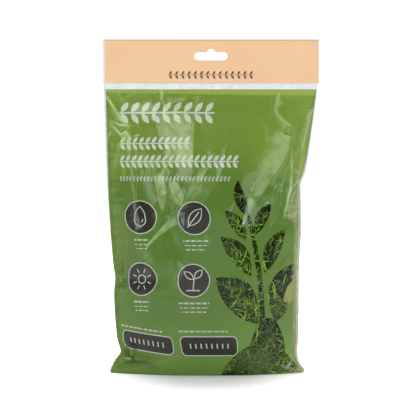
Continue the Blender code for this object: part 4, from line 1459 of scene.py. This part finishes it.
# %% The clear sprig
# Middle, half length, half width, turn in degrees, and bend
WINDOW_LEAVES = (
    ((0.0420, 0.0900), 0.0375, 0.0185, 134, 4.0),
    ((0.0990, 0.0965), 0.0370, 0.0200, 66, -4.0),
    ((0.0400, 0.1400), 0.0290, 0.0115, 128, 5.0),
    ((0.0840, 0.1450), 0.0290, 0.0110, 60, -5.0),
    ((0.0390, 0.1745), 0.0210, 0.0080, 125, 6.0),
    ((0.0690, 0.1810), 0.0215, 0.0078, 58, -6.0),
    ((0.0440, 0.2030), 0.0220, 0.0068, 105, -6.0),
)
# Middle and half size of each mound
MOUNDS = (((0.0720, -0.0300), (0.0600, 0.0680)), ((0.0790, -0.0200), (0.0330, 0.0860)))
STEM_FOOT, STEM_PLACE, STEM_BEND = 0.045, 0.0705, -0.95
STEM_HALF, STEM_TAPER_RATE = 0.0042, 0.012
STEM_MIDDLE, STEM_REACH = 0.110, 0.085


def clear_area(u, v):
    """The sprig and its mound, negative where the film is clear."""
    shapes = [
        leaf(u, v, centre, length, width, math.radians(degrees), bend)
        for centre, length, width, degrees, bend in WINDOW_LEAVES]
    for (mound_u, mound_v), (wide, high) in MOUNDS:
        across, up = (u - mound_u) / wide, (v - mound_v) / high
        shapes.append((far_out(across, up) - 1.0) * 0.05)
    above = v - STEM_FOOT
    lean = above * above * STEM_BEND + STEM_PLACE
    stem = abs(u - lean) + above * STEM_TAPER_RATE - STEM_HALF
    return joined(*shapes, cut_to(stem, abs(v - STEM_MIDDLE) - STEM_REACH))


# %% [markdown]
# ## Printed film
# The ink lies behind the gloss: the front of the film is smooth and clear. Ink is thin, so the film
# also lets light through, and it glows a little where nothing dark is behind it. The shader mixes
# what the ink sends back with what it lets through, and leaves the sprig as clear film.

# %% The inks, and the colours of painted light
GREEN = (0.128, 0.256, 0.025)
GREEN_DEEP = (0.115, 0.242, 0.032)
GREEN_PAINTED_FILL = (0.200, 0.380, 0.060)
GLOW_AND_HIGHLIGHT_GREEN = (0.272, 0.392, 0.068)
CREAM = (0.66, 0.74, 0.65)
DARK = (0.034, 0.030, 0.018)
GREEN_THROUGH = (0.70, 0.74, 0.24)
DARK_THROUGH = (0.02, 0.02, 0.015)
MARGIN_OLIVE = (0.20, 0.27, 0.038)
MARGIN_BEIGE = (0.30, 0.32, 0.13)
MARGIN_MILK = (0.22, 0.25, 0.085)
MARGIN_HAZE = 0.78
PALE_FOLD_AND_HIGHLIGHT_GREEN = (0.53, 0.72, 0.35)
PALE_FOLD_AND_HIGHLIGHT_GREY = (0.42, 0.45, 0.41)
WINDOW_MILK = (0.12, 0.19, 0.07)
WINDOW_HAZE = 0.55
WINDOW_FOLD_AND_GLINT = (0.80, 0.88, 0.80)
MARGIN_FOLD_AND_HIGHLIGHT = (0.66, 0.68, 0.55)
FOLD_SHADE = (0.030, 0.055, 0.008)
FILM_GLOSS = 0.17
THROUGH = 0.34
CLEAR_IOR = 1.28
THIN_EDGE, SOFT_EDGE = (-0.0003, 0.0003), (-0.0006, 0.0006)


def clear_film(tree, gloss=0.06):
    """Unprinted film: see-through, with a reflection that grows at a grazing angle."""
    facing = add_node(tree, "ShaderNodeFresnel", {"IOR": CLEAR_IOR})
    open_part = shader(tree, "BsdfTransparent", Color=(0.97, 0.98, 0.975))
    shine = shader(tree, "BsdfGlossy", Color=(1.0, 1.0, 1.0), Roughness=gloss)
    return blended(tree, facing.outputs[0], open_part, shine)


def ink_film(tree, colour, through, share, gloss, bump):
    """Printed film: ink behind a clear gloss, and some light let through."""
    inked = shader(
        tree, "BsdfPrincipled", Base_Color=colour, Roughness=gloss, IOR=1.52, Normal=bump)
    let_through = shader(tree, "BsdfTranslucent", Color=through)
    return blended(tree, share, inked, let_through)


def green_ink(tree, scale):
    """The two greens in soft clouds."""
    clouds = noise(tree, scale, 4.0, 0.55)
    return mixed(tree, clouds.ramp(0.35, 0.68), GREEN_DEEP, GREEN)


def film_grain(tree, strength, scale=260.0, height=0.00025):
    """The fine unevenness of film, seen only where it glosses."""
    return ripple(tree, noise(tree, scale, 2.0), height, strength)


# %% [markdown]
# Along its right edge the front film is left milky, without ink, and this margin gets wider in a tuck
# half-way up. A colour ramp serves as a small table: it gives the margin's width at each height.

# %% The milky right margin
MARGIN_UNIT = 0.020
# Height, then the margin's width
RIGHT_MARGIN = (
    (0.000, 0.0050), (0.060, 0.0056), (0.120, 0.0048), (0.168, 0.0060), (0.177, 0.0090),
    (0.182, 0.0180), (0.196, 0.0150), (0.211, 0.0080), (0.222, 0.0065), (0.232, 0.0060),
    (0.243, 0.0075), (0.258, 0.0088), (0.278, 0.0090), (0.298, 0.0075), (0.306, 0.0025),
    (0.3304, 0.0010),
)


def by_height(tree, v, rows, unit):
    """A value read from a table of heights."""
    ramp = tree.nodes.new("ShaderNodeValToRGB")
    stops = ramp.color_ramp.elements
    top = rows[-1][0]
    for i, (height, value) in enumerate(rows):
        stop = stops[i] if i < 2 else stops.new(height / top)
        stop.position = height / top
        stop.color = (value / unit, value / unit, value / unit, 1.0)
    feed(tree, v / top, ramp.inputs[0])
    return Field(tree, ramp.outputs[0]) * unit


def right_margin(tree, u, v, whitening_and_highlight):
    """The margin's share at every place, and its shader."""
    share = (u - PRINT_HALF + by_height(tree, v, RIGHT_MARGIN, MARGIN_UNIT)).ramp(*THIN_EDGE)
    tint = mixed(tree, (v - 0.172).ramp(0.0, 0.01), MARGIN_MILK, MARGIN_BEIGE)
    tint = mixed(tree, (v - 0.212).ramp(0.0, 0.004), tint, MARGIN_OLIVE)
    tint = mixed(tree, noise(tree, 90.0, 3.0).ramp(0.35, 0.65) * 0.4, tint, GREEN)
    # Pale folds and painted highlights on the margin
    tint = mixed(tree, whitening_and_highlight, tint, MARGIN_FOLD_AND_HIGHLIGHT)
    bare = shader(tree, "BsdfPrincipled", Base_Color=tint, Roughness=FILM_GLOSS)
    return share, blended(tree, MARGIN_HAZE, clear_film(tree), bare)


# %% [markdown]
# The print is built up as a printer would: the green ground, then the dark plates, then the pale
# ornament. The ground carries painted light: a brighter foot, a lighter glowing strip at the mouth and
# a painted highlight by the right shoulder.

# %% Ground, plates and ornament
SIGN_RING, PLATE_RING = 0.00055, 0.00060
PLATE_CORNER, TICK_PITCH, TICK_MARGIN = 0.0062, 0.0066, 0.0085
# Left end, right end, height, pitch, leaf size and half the stem's width
FRONT_ROWS = (
    (-0.1076, 0.0053, 0.3028, 0.01255, 0.0092, 0.0010),
    (-0.1071, -0.0213, 0.2672, 0.00780, 0.0057, 0.0007),
    (-0.1071, 0.0381, 0.2464, 0.00763, 0.0057, 0.0007),
    (-0.1074, 0.0318, 0.2266, 0.00464, 0.0023, 0.0002),
)
CAPTION_HALVES = (0.0100, 0.0150, 0.0115, 0.0185)
# How far under its spot a line is, its share of the length, half its height, and a seed
CAPTION_LINES = ((0.0262, 1.0, 0.0010, 0.0), (0.0314, 0.9, 0.0006, 3.0), (0.0362, 0.8, 0.0006, 6.0))
CAPTION_SHIFT = 0.0005


def front_ground_with_painted_light(tree, u, v):
    """Green ink with painted light: a lighter foot, mouth, upper right corner and right shoulder
    facet.
    """
    green = green_ink(tree, 9.0)
    # Painted fill light: the green is brighter towards the foot, least at the left
    foot = (0.085 - v).ramp(0.0, 0.075) * ((u + 0.105).ramp(0.0, 0.085) * 0.7 + 0.3)
    green = mixed(tree, foot, green, GREEN_PAINTED_FILL)
    # Painted glow: a lighter strip at the mouth and a lighter upper right corner, where light would
    # shine through
    strip_edge = 0.3262 - (u + 0.122) * 0.0135
    strip = (v - strip_edge).ramp(*SOFT_EDGE)
    corner = (u - 0.066).ramp(0.0, 0.03) * (v - 0.285).ramp(0.0, 0.04) * 0.14
    # Painted highlight on the facet by the right shoulder
    facet = spot(u * 1.6, v, (0.1080, 0.2480), 0.0320).ramp(-0.030, 0.0)
    corner = corner.most((1.0 - facet) * 0.26)
    return mixed(tree, strip.most(corner), green, GLOW_AND_HIGHLIGHT_GREEN)


def plates_and_signs(u, v):
    """The dark plates as one shape, and the pale lines on them as a list."""
    plates, lines = [], []
    for centre, stretch, sign in SIGNS:
        near_u = (u - centre[0]) * stretch + centre[0]
        disc = spot(near_u, v, centre, SPOT_RADIUS)
        plates.append(disc)
        lines += [outline(disc, SIGN_RING), sign(near_u, v, centre)]
    for centre, length, width, turn in BARS:
        plate = bar(u, v, centre, length, width, PLATE_CORNER, turn)
        plates.append(plate)
        along, across = turned(u, v, centre, turn)
        tick = bar(along.within(TICK_PITCH), across, (0.0, 0.0), 0.00085, 0.0030, 0.0008)
        lines += [outline(plate, PLATE_RING), cut_to(tick, abs(along) - (length - TICK_MARGIN))]
    return joined(*plates), lines


def rows_and_captions(u, v):
    """The garlands and the broken rules of the front."""
    shapes = [leaf_row(u, v, *row) for row in FRONT_ROWS]
    for (centre, _, _), half_length in zip(SIGNS, CAPTION_HALVES):
        for drop, share, half_height, seed in CAPTION_LINES:
            place = (centre[0] + CAPTION_SHIFT, centre[1] - drop)
            shapes.append(caption(u, v, place, half_length * share, half_height, seed))
    shapes.append(caption(u, v, (-0.0850, 0.0535), 0.0310, 0.0009, 2.0, math.radians(-6)))
    shapes.append(caption(u, v, (-0.0035, 0.0512), 0.0300, 0.0009, 5.0))
    return shapes


# %% [markdown]
# Last come the pale folds with the painted highlights, and the painted shade in the tucks. The sprig
# is a hole in the ink, with clear film that is hazy near its foot.

# %% The front film's finish
def front_print():
    """Everything that is seen on the front film."""
    finish, tree = new_finish("printed front film")
    u, v = film_place(tree)
    plates, lines = plates_and_signs(u, v)
    dark = plates.under(0.0)
    pale = joined(*rows_and_captions(u, v), *lines).under(0.0)
    colour = mixed(tree, dark, front_ground_with_painted_light(tree, u, v), DARK)
    colour = mixed(tree, pale, colour, CREAM)

    # Pale folds and painted highlights lighten the ink, and painted shade in the tucks darkens it
    folds_and_painted_light = Field(tree, add_node(tree, "ShaderNodeAttribute", attribute_name="pale").outputs["Fac"])
    crinkle = noise(tree, 75.0, 6.0).ramp(0.36, 0.60) * 0.80 + 0.52
    whitening_and_highlight = (folds_and_painted_light.most(0.0) * crinkle).least(1.0)
    colour = mixed(tree, whitening_and_highlight, colour, mixed(tree, dark, PALE_FOLD_AND_HIGHLIGHT_GREEN, PALE_FOLD_AND_HIGHLIGHT_GREY))
    colour = mixed(tree, folds_and_painted_light.least(0.0) * -1.0, colour, FOLD_SHADE)
    through = mixed(tree, dark, GREEN_THROUGH, DARK_THROUGH)
    inked = ink_film(tree, colour, through, THROUGH, FILM_GLOSS, film_grain(tree, 0.10))

    haze = noise(tree, 24.0, 2.0).ramp(0.45, 0.75) * (0.105 - v).ramp(0.0, 0.07) * WINDOW_HAZE
    # Pale folds and painted glints turn the clear film milky white
    milk = shader(tree, "BsdfDiffuse", Color=mixed(tree, whitening_and_highlight, WINDOW_MILK, WINDOW_FOLD_AND_GLINT))
    pane = blended(tree, haze.most(whitening_and_highlight), clear_film(tree), milk)
    window = clear_area(u, v).under(0.0) * (1.0 - pale) * (1.0 - dark)
    margin, bare = right_margin(tree, u, v, whitening_and_highlight)
    open_film = blended(tree, window * (1.0 - margin), inked, pane)
    finished(tree, blended(tree, margin, open_film, bare))
    return finish


front_finish = front_print()
print("front film finish:", len(front_finish.node_tree.nodes), "nodes")

# %% [markdown]
# The back is printed in the same green, with one pale, empty panel in a thin frame. The base is plain
# green.

# %% Back film and base film
PANEL_MIDDLE = (0.0, 0.1750)
PANEL_THROUGH = (0.80, 0.84, 0.66)


def back_print():
    """Green film with a painted glow strip at the mouth, a garland and an empty panel."""
    finish, tree = new_finish("printed back film")
    u, v = film_place(tree)
    # Painted glow: the lighter strip at the mouth
    green = mixed(tree, (v - 0.3250).ramp(*SOFT_EDGE), green_ink(tree, 9.0), GLOW_AND_HIGHLIGHT_GREEN)
    panel = bar(u, v, PANEL_MIDDLE, 0.0880, 0.0800, 0.0080)
    frame_line = outline(bar(u, v, PANEL_MIDDLE, 0.0845, 0.0765, 0.0060), 0.0005)
    garland = leaf_row(u, v, -0.0652, 0.0652, 0.2860, 0.01629, 0.0128, 0.0009)
    pale = joined(panel, garland).under(0.0) * (1.0 - frame_line.under(0.0))
    colour = mixed(tree, pale, green, CREAM)
    through = mixed(tree, pale, GREEN_THROUGH, PANEL_THROUGH)
    finished(tree, ink_film(tree, colour, through, THROUGH, FILM_GLOSS, film_grain(tree, 0.25)))
    return finish


def base_print():
    """Plain green film, rubbed a little dull."""
    finish, tree = new_finish("printed base film")
    grain = film_grain(tree, 0.3, scale=200.0)
    finished(tree, ink_film(tree, green_ink(tree, 12.0), GREEN_THROUGH, THROUGH, 0.24, grain))
    return finish


back_finish, base_finish = back_print(), base_print()
print("back and base finishes:", back_finish.name, "and", base_finish.name)

# %% [markdown]
# The header is printed in a warm peach over white, so little light comes through it. A narrow border
# at its left stays clear. Its small garland is dark.

# %% Header film
PEACH, PEACH_PALE = (0.825, 0.545, 0.302), (0.845, 0.570, 0.328)
PEACH_THROUGH, GARLAND_BROWN = (0.9, 0.7, 0.5), (0.045, 0.020, 0.010)
BORDER_MILK = (0.74, 0.80, 0.84)


def header_print():
    """Peach film with a dark garland and a clear left border."""
    finish, tree = new_finish("printed header film")
    u, v = film_place(tree)
    peach = mixed(tree, noise(tree, 14.0, 3.0, 0.5).ramp(0.3, 0.7), PEACH, PEACH_PALE)
    garland = leaf_row(u, v, -0.0505, 0.0505, 0.3470, 0.0072, 0.0034, 0.0003)
    colour = mixed(tree, garland.under(0.0), peach, GARLAND_BROWN)
    grain = film_grain(tree, 0.25, scale=220.0, height=0.0002)
    inked = ink_film(tree, colour, PEACH_THROUGH, 0.16, 0.22, grain)
    edge_milk = shader(tree, "BsdfPrincipled", Base_Color=BORDER_MILK, Roughness=0.2)
    border = blended(tree, 0.5, clear_film(tree, 0.10), edge_milk)
    finished(tree, blended(tree, (u + PRINT_HALF).under(0.0), inked, border))
    return finish


header_finish = header_print()
print("header finish:", len(header_finish.node_tree.nodes), "nodes")

# %% [markdown]
# Welded film is clear with a bluish milkiness, strongest on the ribs of the mouth weld, and glossy.
# Low down, the moss behind it shows through the milk.

# %% Weld film
WELD_OVER_MOSS, WELD_BEIGE = (0.26, 0.30, 0.14), (0.42, 0.44, 0.27)
WELD_WHITE = (0.78, 0.83, 0.86)


def weld_film(name, milk, milk_colour, gloss):
    """Clear film with a share of milk."""
    finish, tree = new_finish(name)
    _, v = film_place(tree)
    clouds = noise(tree, 60.0, 3.0, 0.6)
    upper = mixed(tree, clouds.ramp(0.3, 0.7), milk_colour, WELD_WHITE)
    lower = mixed(tree, clouds.ramp(0.3, 0.7), WELD_OVER_MOSS, WELD_BEIGE)
    colour = mixed(tree, v.ramp(0.20, 0.29), lower, upper)
    body = shader(tree, "BsdfPrincipled", Base_Color=colour, Roughness=gloss)
    share = clouds.ramp(0.2, 0.8) * 0.12 + milk
    finished(tree, blended(tree, share, clear_film(tree, gloss), body))
    return finish


clear_side = weld_film("clear side weld", 0.58, (0.72, 0.79, 0.84), 0.12)
clear_mouth = weld_film("milky mouth weld", 0.80, (0.70, 0.75, 0.77), 0.30)
print("weld finishes:", clear_side.name, "and", clear_mouth.name)

# %% [markdown]
# The dye takes unevenly: old stems stay dark olive and the young tips turn a bright yellow-green. Each
# twig carries a tone, and a fine noise mottles it. Towards the top of the filling, painted shade
# darkens the moss.

# %% Moss finish
DYE = (
    (0.25, (0.050, 0.095, 0.018)),
    (0.55, (0.17, 0.32, 0.040)),
    (0.8, (0.36, 0.62, 0.060)),
)
OLDEST_STEM, YOUNGEST_TIP = (0.012, 0.020, 0.005), (0.56, 0.80, 0.12)


def moss_dye_and_painted_shade():
    """From dark olive to yellow-green along the tone, with painted shade that darkens the top."""
    finish, tree = new_finish("dyed reindeer moss")
    tone = Field(tree, add_node(tree, "ShaderNodeAttribute", attribute_name="tone").outputs["Fac"])
    mottle = noise(tree, 420.0, 2.0, 0.6)
    patch = noise(tree, 38.0, 2.0, 0.5)
    _, _, height = split(tree, object_place(tree))
    amount = tone + (mottle - 0.5) * 0.15 + (patch - 0.5) * 1.2
    # Painted shade: the moss is darker towards the top of the filling
    amount = amount - height.ramp(0.150, 0.190) * 0.20
    ramp = tree.nodes.new("ShaderNodeValToRGB")
    stops = ramp.color_ramp.elements
    for stop, colour in zip(stops, (OLDEST_STEM, YOUNGEST_TIP)):
        stop.color = (*colour, 1)
    for position, colour in DYE:
        stops.new(position).color = (*colour, 1)
    feed(tree, amount, ramp.inputs[0])
    finished(tree, shader(
        tree, "BsdfPrincipled", Base_Color=ramp.outputs[0], Roughness=0.85, Specular_IOR_Level=0.12))
    return finish


# %% [markdown]
# Now the clumps can grow. The twigs that were drawn once have done their work after that.

moss_finish = moss_dye_and_painted_shade()
rooms = list(enumerate(CLUMPS, 1))
clumps = [moss_clump(number, room) for number, room in rooms]
for kind in (long_twigs, fine_twigs):
    for twig in list(kind.objects):
        bpy.data.objects.remove(twig)
    bpy.data.collections.remove(kind)
for clump in clumps:
    triangles = sum(len(p.vertices) - 2 for p in clump.data.polygons)
    print(clump.name, triangles, "triangles")

# %% [markdown]
# ## Hand the pieces to the frame
# Every piece gets its finish, rides on the one body and hides the imported solid that it
# replaces.

PIECES = [
    (front, front_finish, "printed_film", "front_film"),
    (back, back_finish, "back_film", "back_film"),
    (base, base_finish, "back_film", "base_film"),
    (header, header_finish, "header_print", "hang_header"),
    (mouth, clear_mouth, "clear_weld", "top_seal"),
    (left_weld, clear_side, "clear_weld", "side_weld_left"),
    (right_weld, clear_side, "clear_weld", "side_weld_right"),
]
for piece, finish, slot, node in PIECES:
    piece.data.materials.append(finish)
    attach(piece, "root")
    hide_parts(node)
for clump in clumps:
    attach(clump, "root")
    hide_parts("moss_clump_" + clump.name[-2:])
print("pieces handed over:", len(PIECES) + len(clumps))

# %% [markdown]
# ## Studio
# The bag stands on a white surface in front of a white background. The floor glows a little with its
# distance from the bag, so that only the soft shadow under the bag stays grey.

# %% Floor
FLOOR_HALF = 6.0
FLOOR_DARK, FLOOR_LIGHT = (0.85, 0.85, 0.85), (0.87, 0.87, 0.87)
FLOOR_GLOW_NEAR, FLOOR_GLOW_FAR = 0.53, 0.25
SHADOW_HALF_WIDTH, SHADOW_REACH = 0.125, 0.36
SHADOW_SHIFT, SHADOW_START = 0.004, 0.04


def studio_floor():
    """A large white plane on the stage."""
    points = [(FLOOR_HALF * x, FLOOR_HALF * y, 0) for x, y in ((-1, -1), (1, -1), (1, 1), (-1, 1))]
    floor = new_object("studio_floor", points, [(0, 1, 2, 3)], smooth=False)
    finish, tree = new_finish("white studio floor")
    colour = mixed(tree, noise(tree, 3.0, 2.0, 0.5), FLOOR_DARK, FLOOR_LIGHT)
    across, along, _ = split(tree, object_place(tree))
    ahead = (abs(along) - SHADOW_START).most(0.0) / SHADOW_REACH
    beside = (across + SHADOW_SHIFT) / SHADOW_HALF_WIDTH
    spread = far_out(beside, ahead).ramp(0.25, 1.0)
    glow = spread * FLOOR_GLOW_NEAR + far_out(across, along).ramp(0.3, 1.6) * FLOOR_GLOW_FAR
    finished(tree, shader(
        tree, "BsdfPrincipled", Base_Color=colour, Roughness=0.9,
        Emission_Color=(1.0, 1.0, 1.0), Emission_Strength=glow))
    floor.data.materials.append(finish)


studio_floor()

# %% [markdown]
# The white background lights the bag more from behind than from the front, or the print would look
# washed out.

# %% White surroundings
WORLD_BEHIND, WORLD_FRONT = 1.05, 0.30


def studio_world():
    """White surroundings, dimmer on the camera's side."""
    world = bpy.data.worlds.new("white studio")
    bpy.context.scene.world = world
    world.use_nodes = True
    tree = world.node_tree
    tree.nodes.clear()
    _, depth, _ = split(tree, add_node(tree, "ShaderNodeTexCoord").outputs["Generated"])
    lit = depth.ramp(-0.3, 0.4) * (WORLD_BEHIND - WORLD_FRONT) + WORLD_FRONT
    seen = Field(tree, add_node(tree, "ShaderNodeLightPath").outputs["Is Camera Ray"])
    light = shader(
        tree, "Background", Color=(1.0, 1.0, 1.0), Strength=lit.most(seen * WORLD_BEHIND))
    add_node(tree, "ShaderNodeOutputWorld", {"Surface": light})


studio_world()

# %% [markdown]
# One large soft light from above on the left and one on the right draw the long pale reflections on
# the film. Two upright strips edge the folds, and a card and a top light fill the shade.

# %% Soft lights
AIM = Vector((0.0, 0.0, 0.22))
# Name, azimuth, elevation, distance, width, height and radiance
LIGHTS = (
    ("soft light left", -11.0, 33.5, 3.0, 0.50, 1.00, 5.6),
    ("soft light right", 38.0, 13.5, 3.0, 1.00, 0.90, 2.8),
    ("strip light left", -44.0, 20.0, 3.0, 0.34, 1.4, 5.2),
    ("strip light right", 60.0, 20.0, 3.0, 0.25, 1.6, 8.0),
    ("front card", 0.0, 6.0, 3.2, 2.2, 1.0, 0.8),
    ("top light", 180.0, 72.0, 3.0, 3.0, 3.0, 0.7),
)


def soft_light(name, azimuth, elevation, distance, width, height, radiance):
    """A rectangle of light that faces the bag; azimuth 0 is the camera's side, plus is its right."""
    turn, rise = math.radians(azimuth), math.radians(elevation)
    away = Vector((math.sin(turn) * math.cos(rise), -math.cos(turn) * math.cos(rise), math.sin(rise)))
    lamp = bpy.data.lights.new(name, "AREA")
    lamp.shape = "RECTANGLE"
    lamp.size, lamp.size_y = width, height
    lamp.energy = radiance * math.pi * width * height
    thing = bpy.data.objects.new(name, lamp)
    thing.location = AIM + away * distance
    thing.rotation_euler = away.to_track_quat("Z", "Y").to_euler()
    bpy.context.scene.collection.objects.link(thing)


for light in LIGHTS:
    soft_light(*light)
print("lights:", len(LIGHTS))

# %% [markdown]
# The camera looks straight at the front from a little above, with a long lens, so that the sides stay
# almost parallel.

# %% Camera
MM_PER_PIXEL = 1.162
FRAME_PIXELS = 416
CAMERA_DISTANCE = 3.6
CAMERA_RISE = math.radians(1.0)
LOOK_AT = Vector((-0.0035, 0.0, 0.1924))
SENSOR = 36.0

lens = bpy.data.cameras.new("camera")
lens.sensor_width = SENSOR
lens.lens = SENSOR * CAMERA_DISTANCE / (FRAME_PIXELS * MM_PER_PIXEL * MM)
camera = bpy.data.objects.new("camera", lens)
away = Vector((0.0, -math.cos(CAMERA_RISE), math.sin(CAMERA_RISE)))
camera.location = LOOK_AT + away * CAMERA_DISTANCE
camera.rotation_euler = away.to_track_quat("Z", "Y").to_euler()
bpy.context.scene.collection.objects.link(camera)
bpy.context.scene.camera = camera
bpy.context.scene.view_settings.view_transform = "Standard"
print("lens: %.0f mm" % lens.lens)
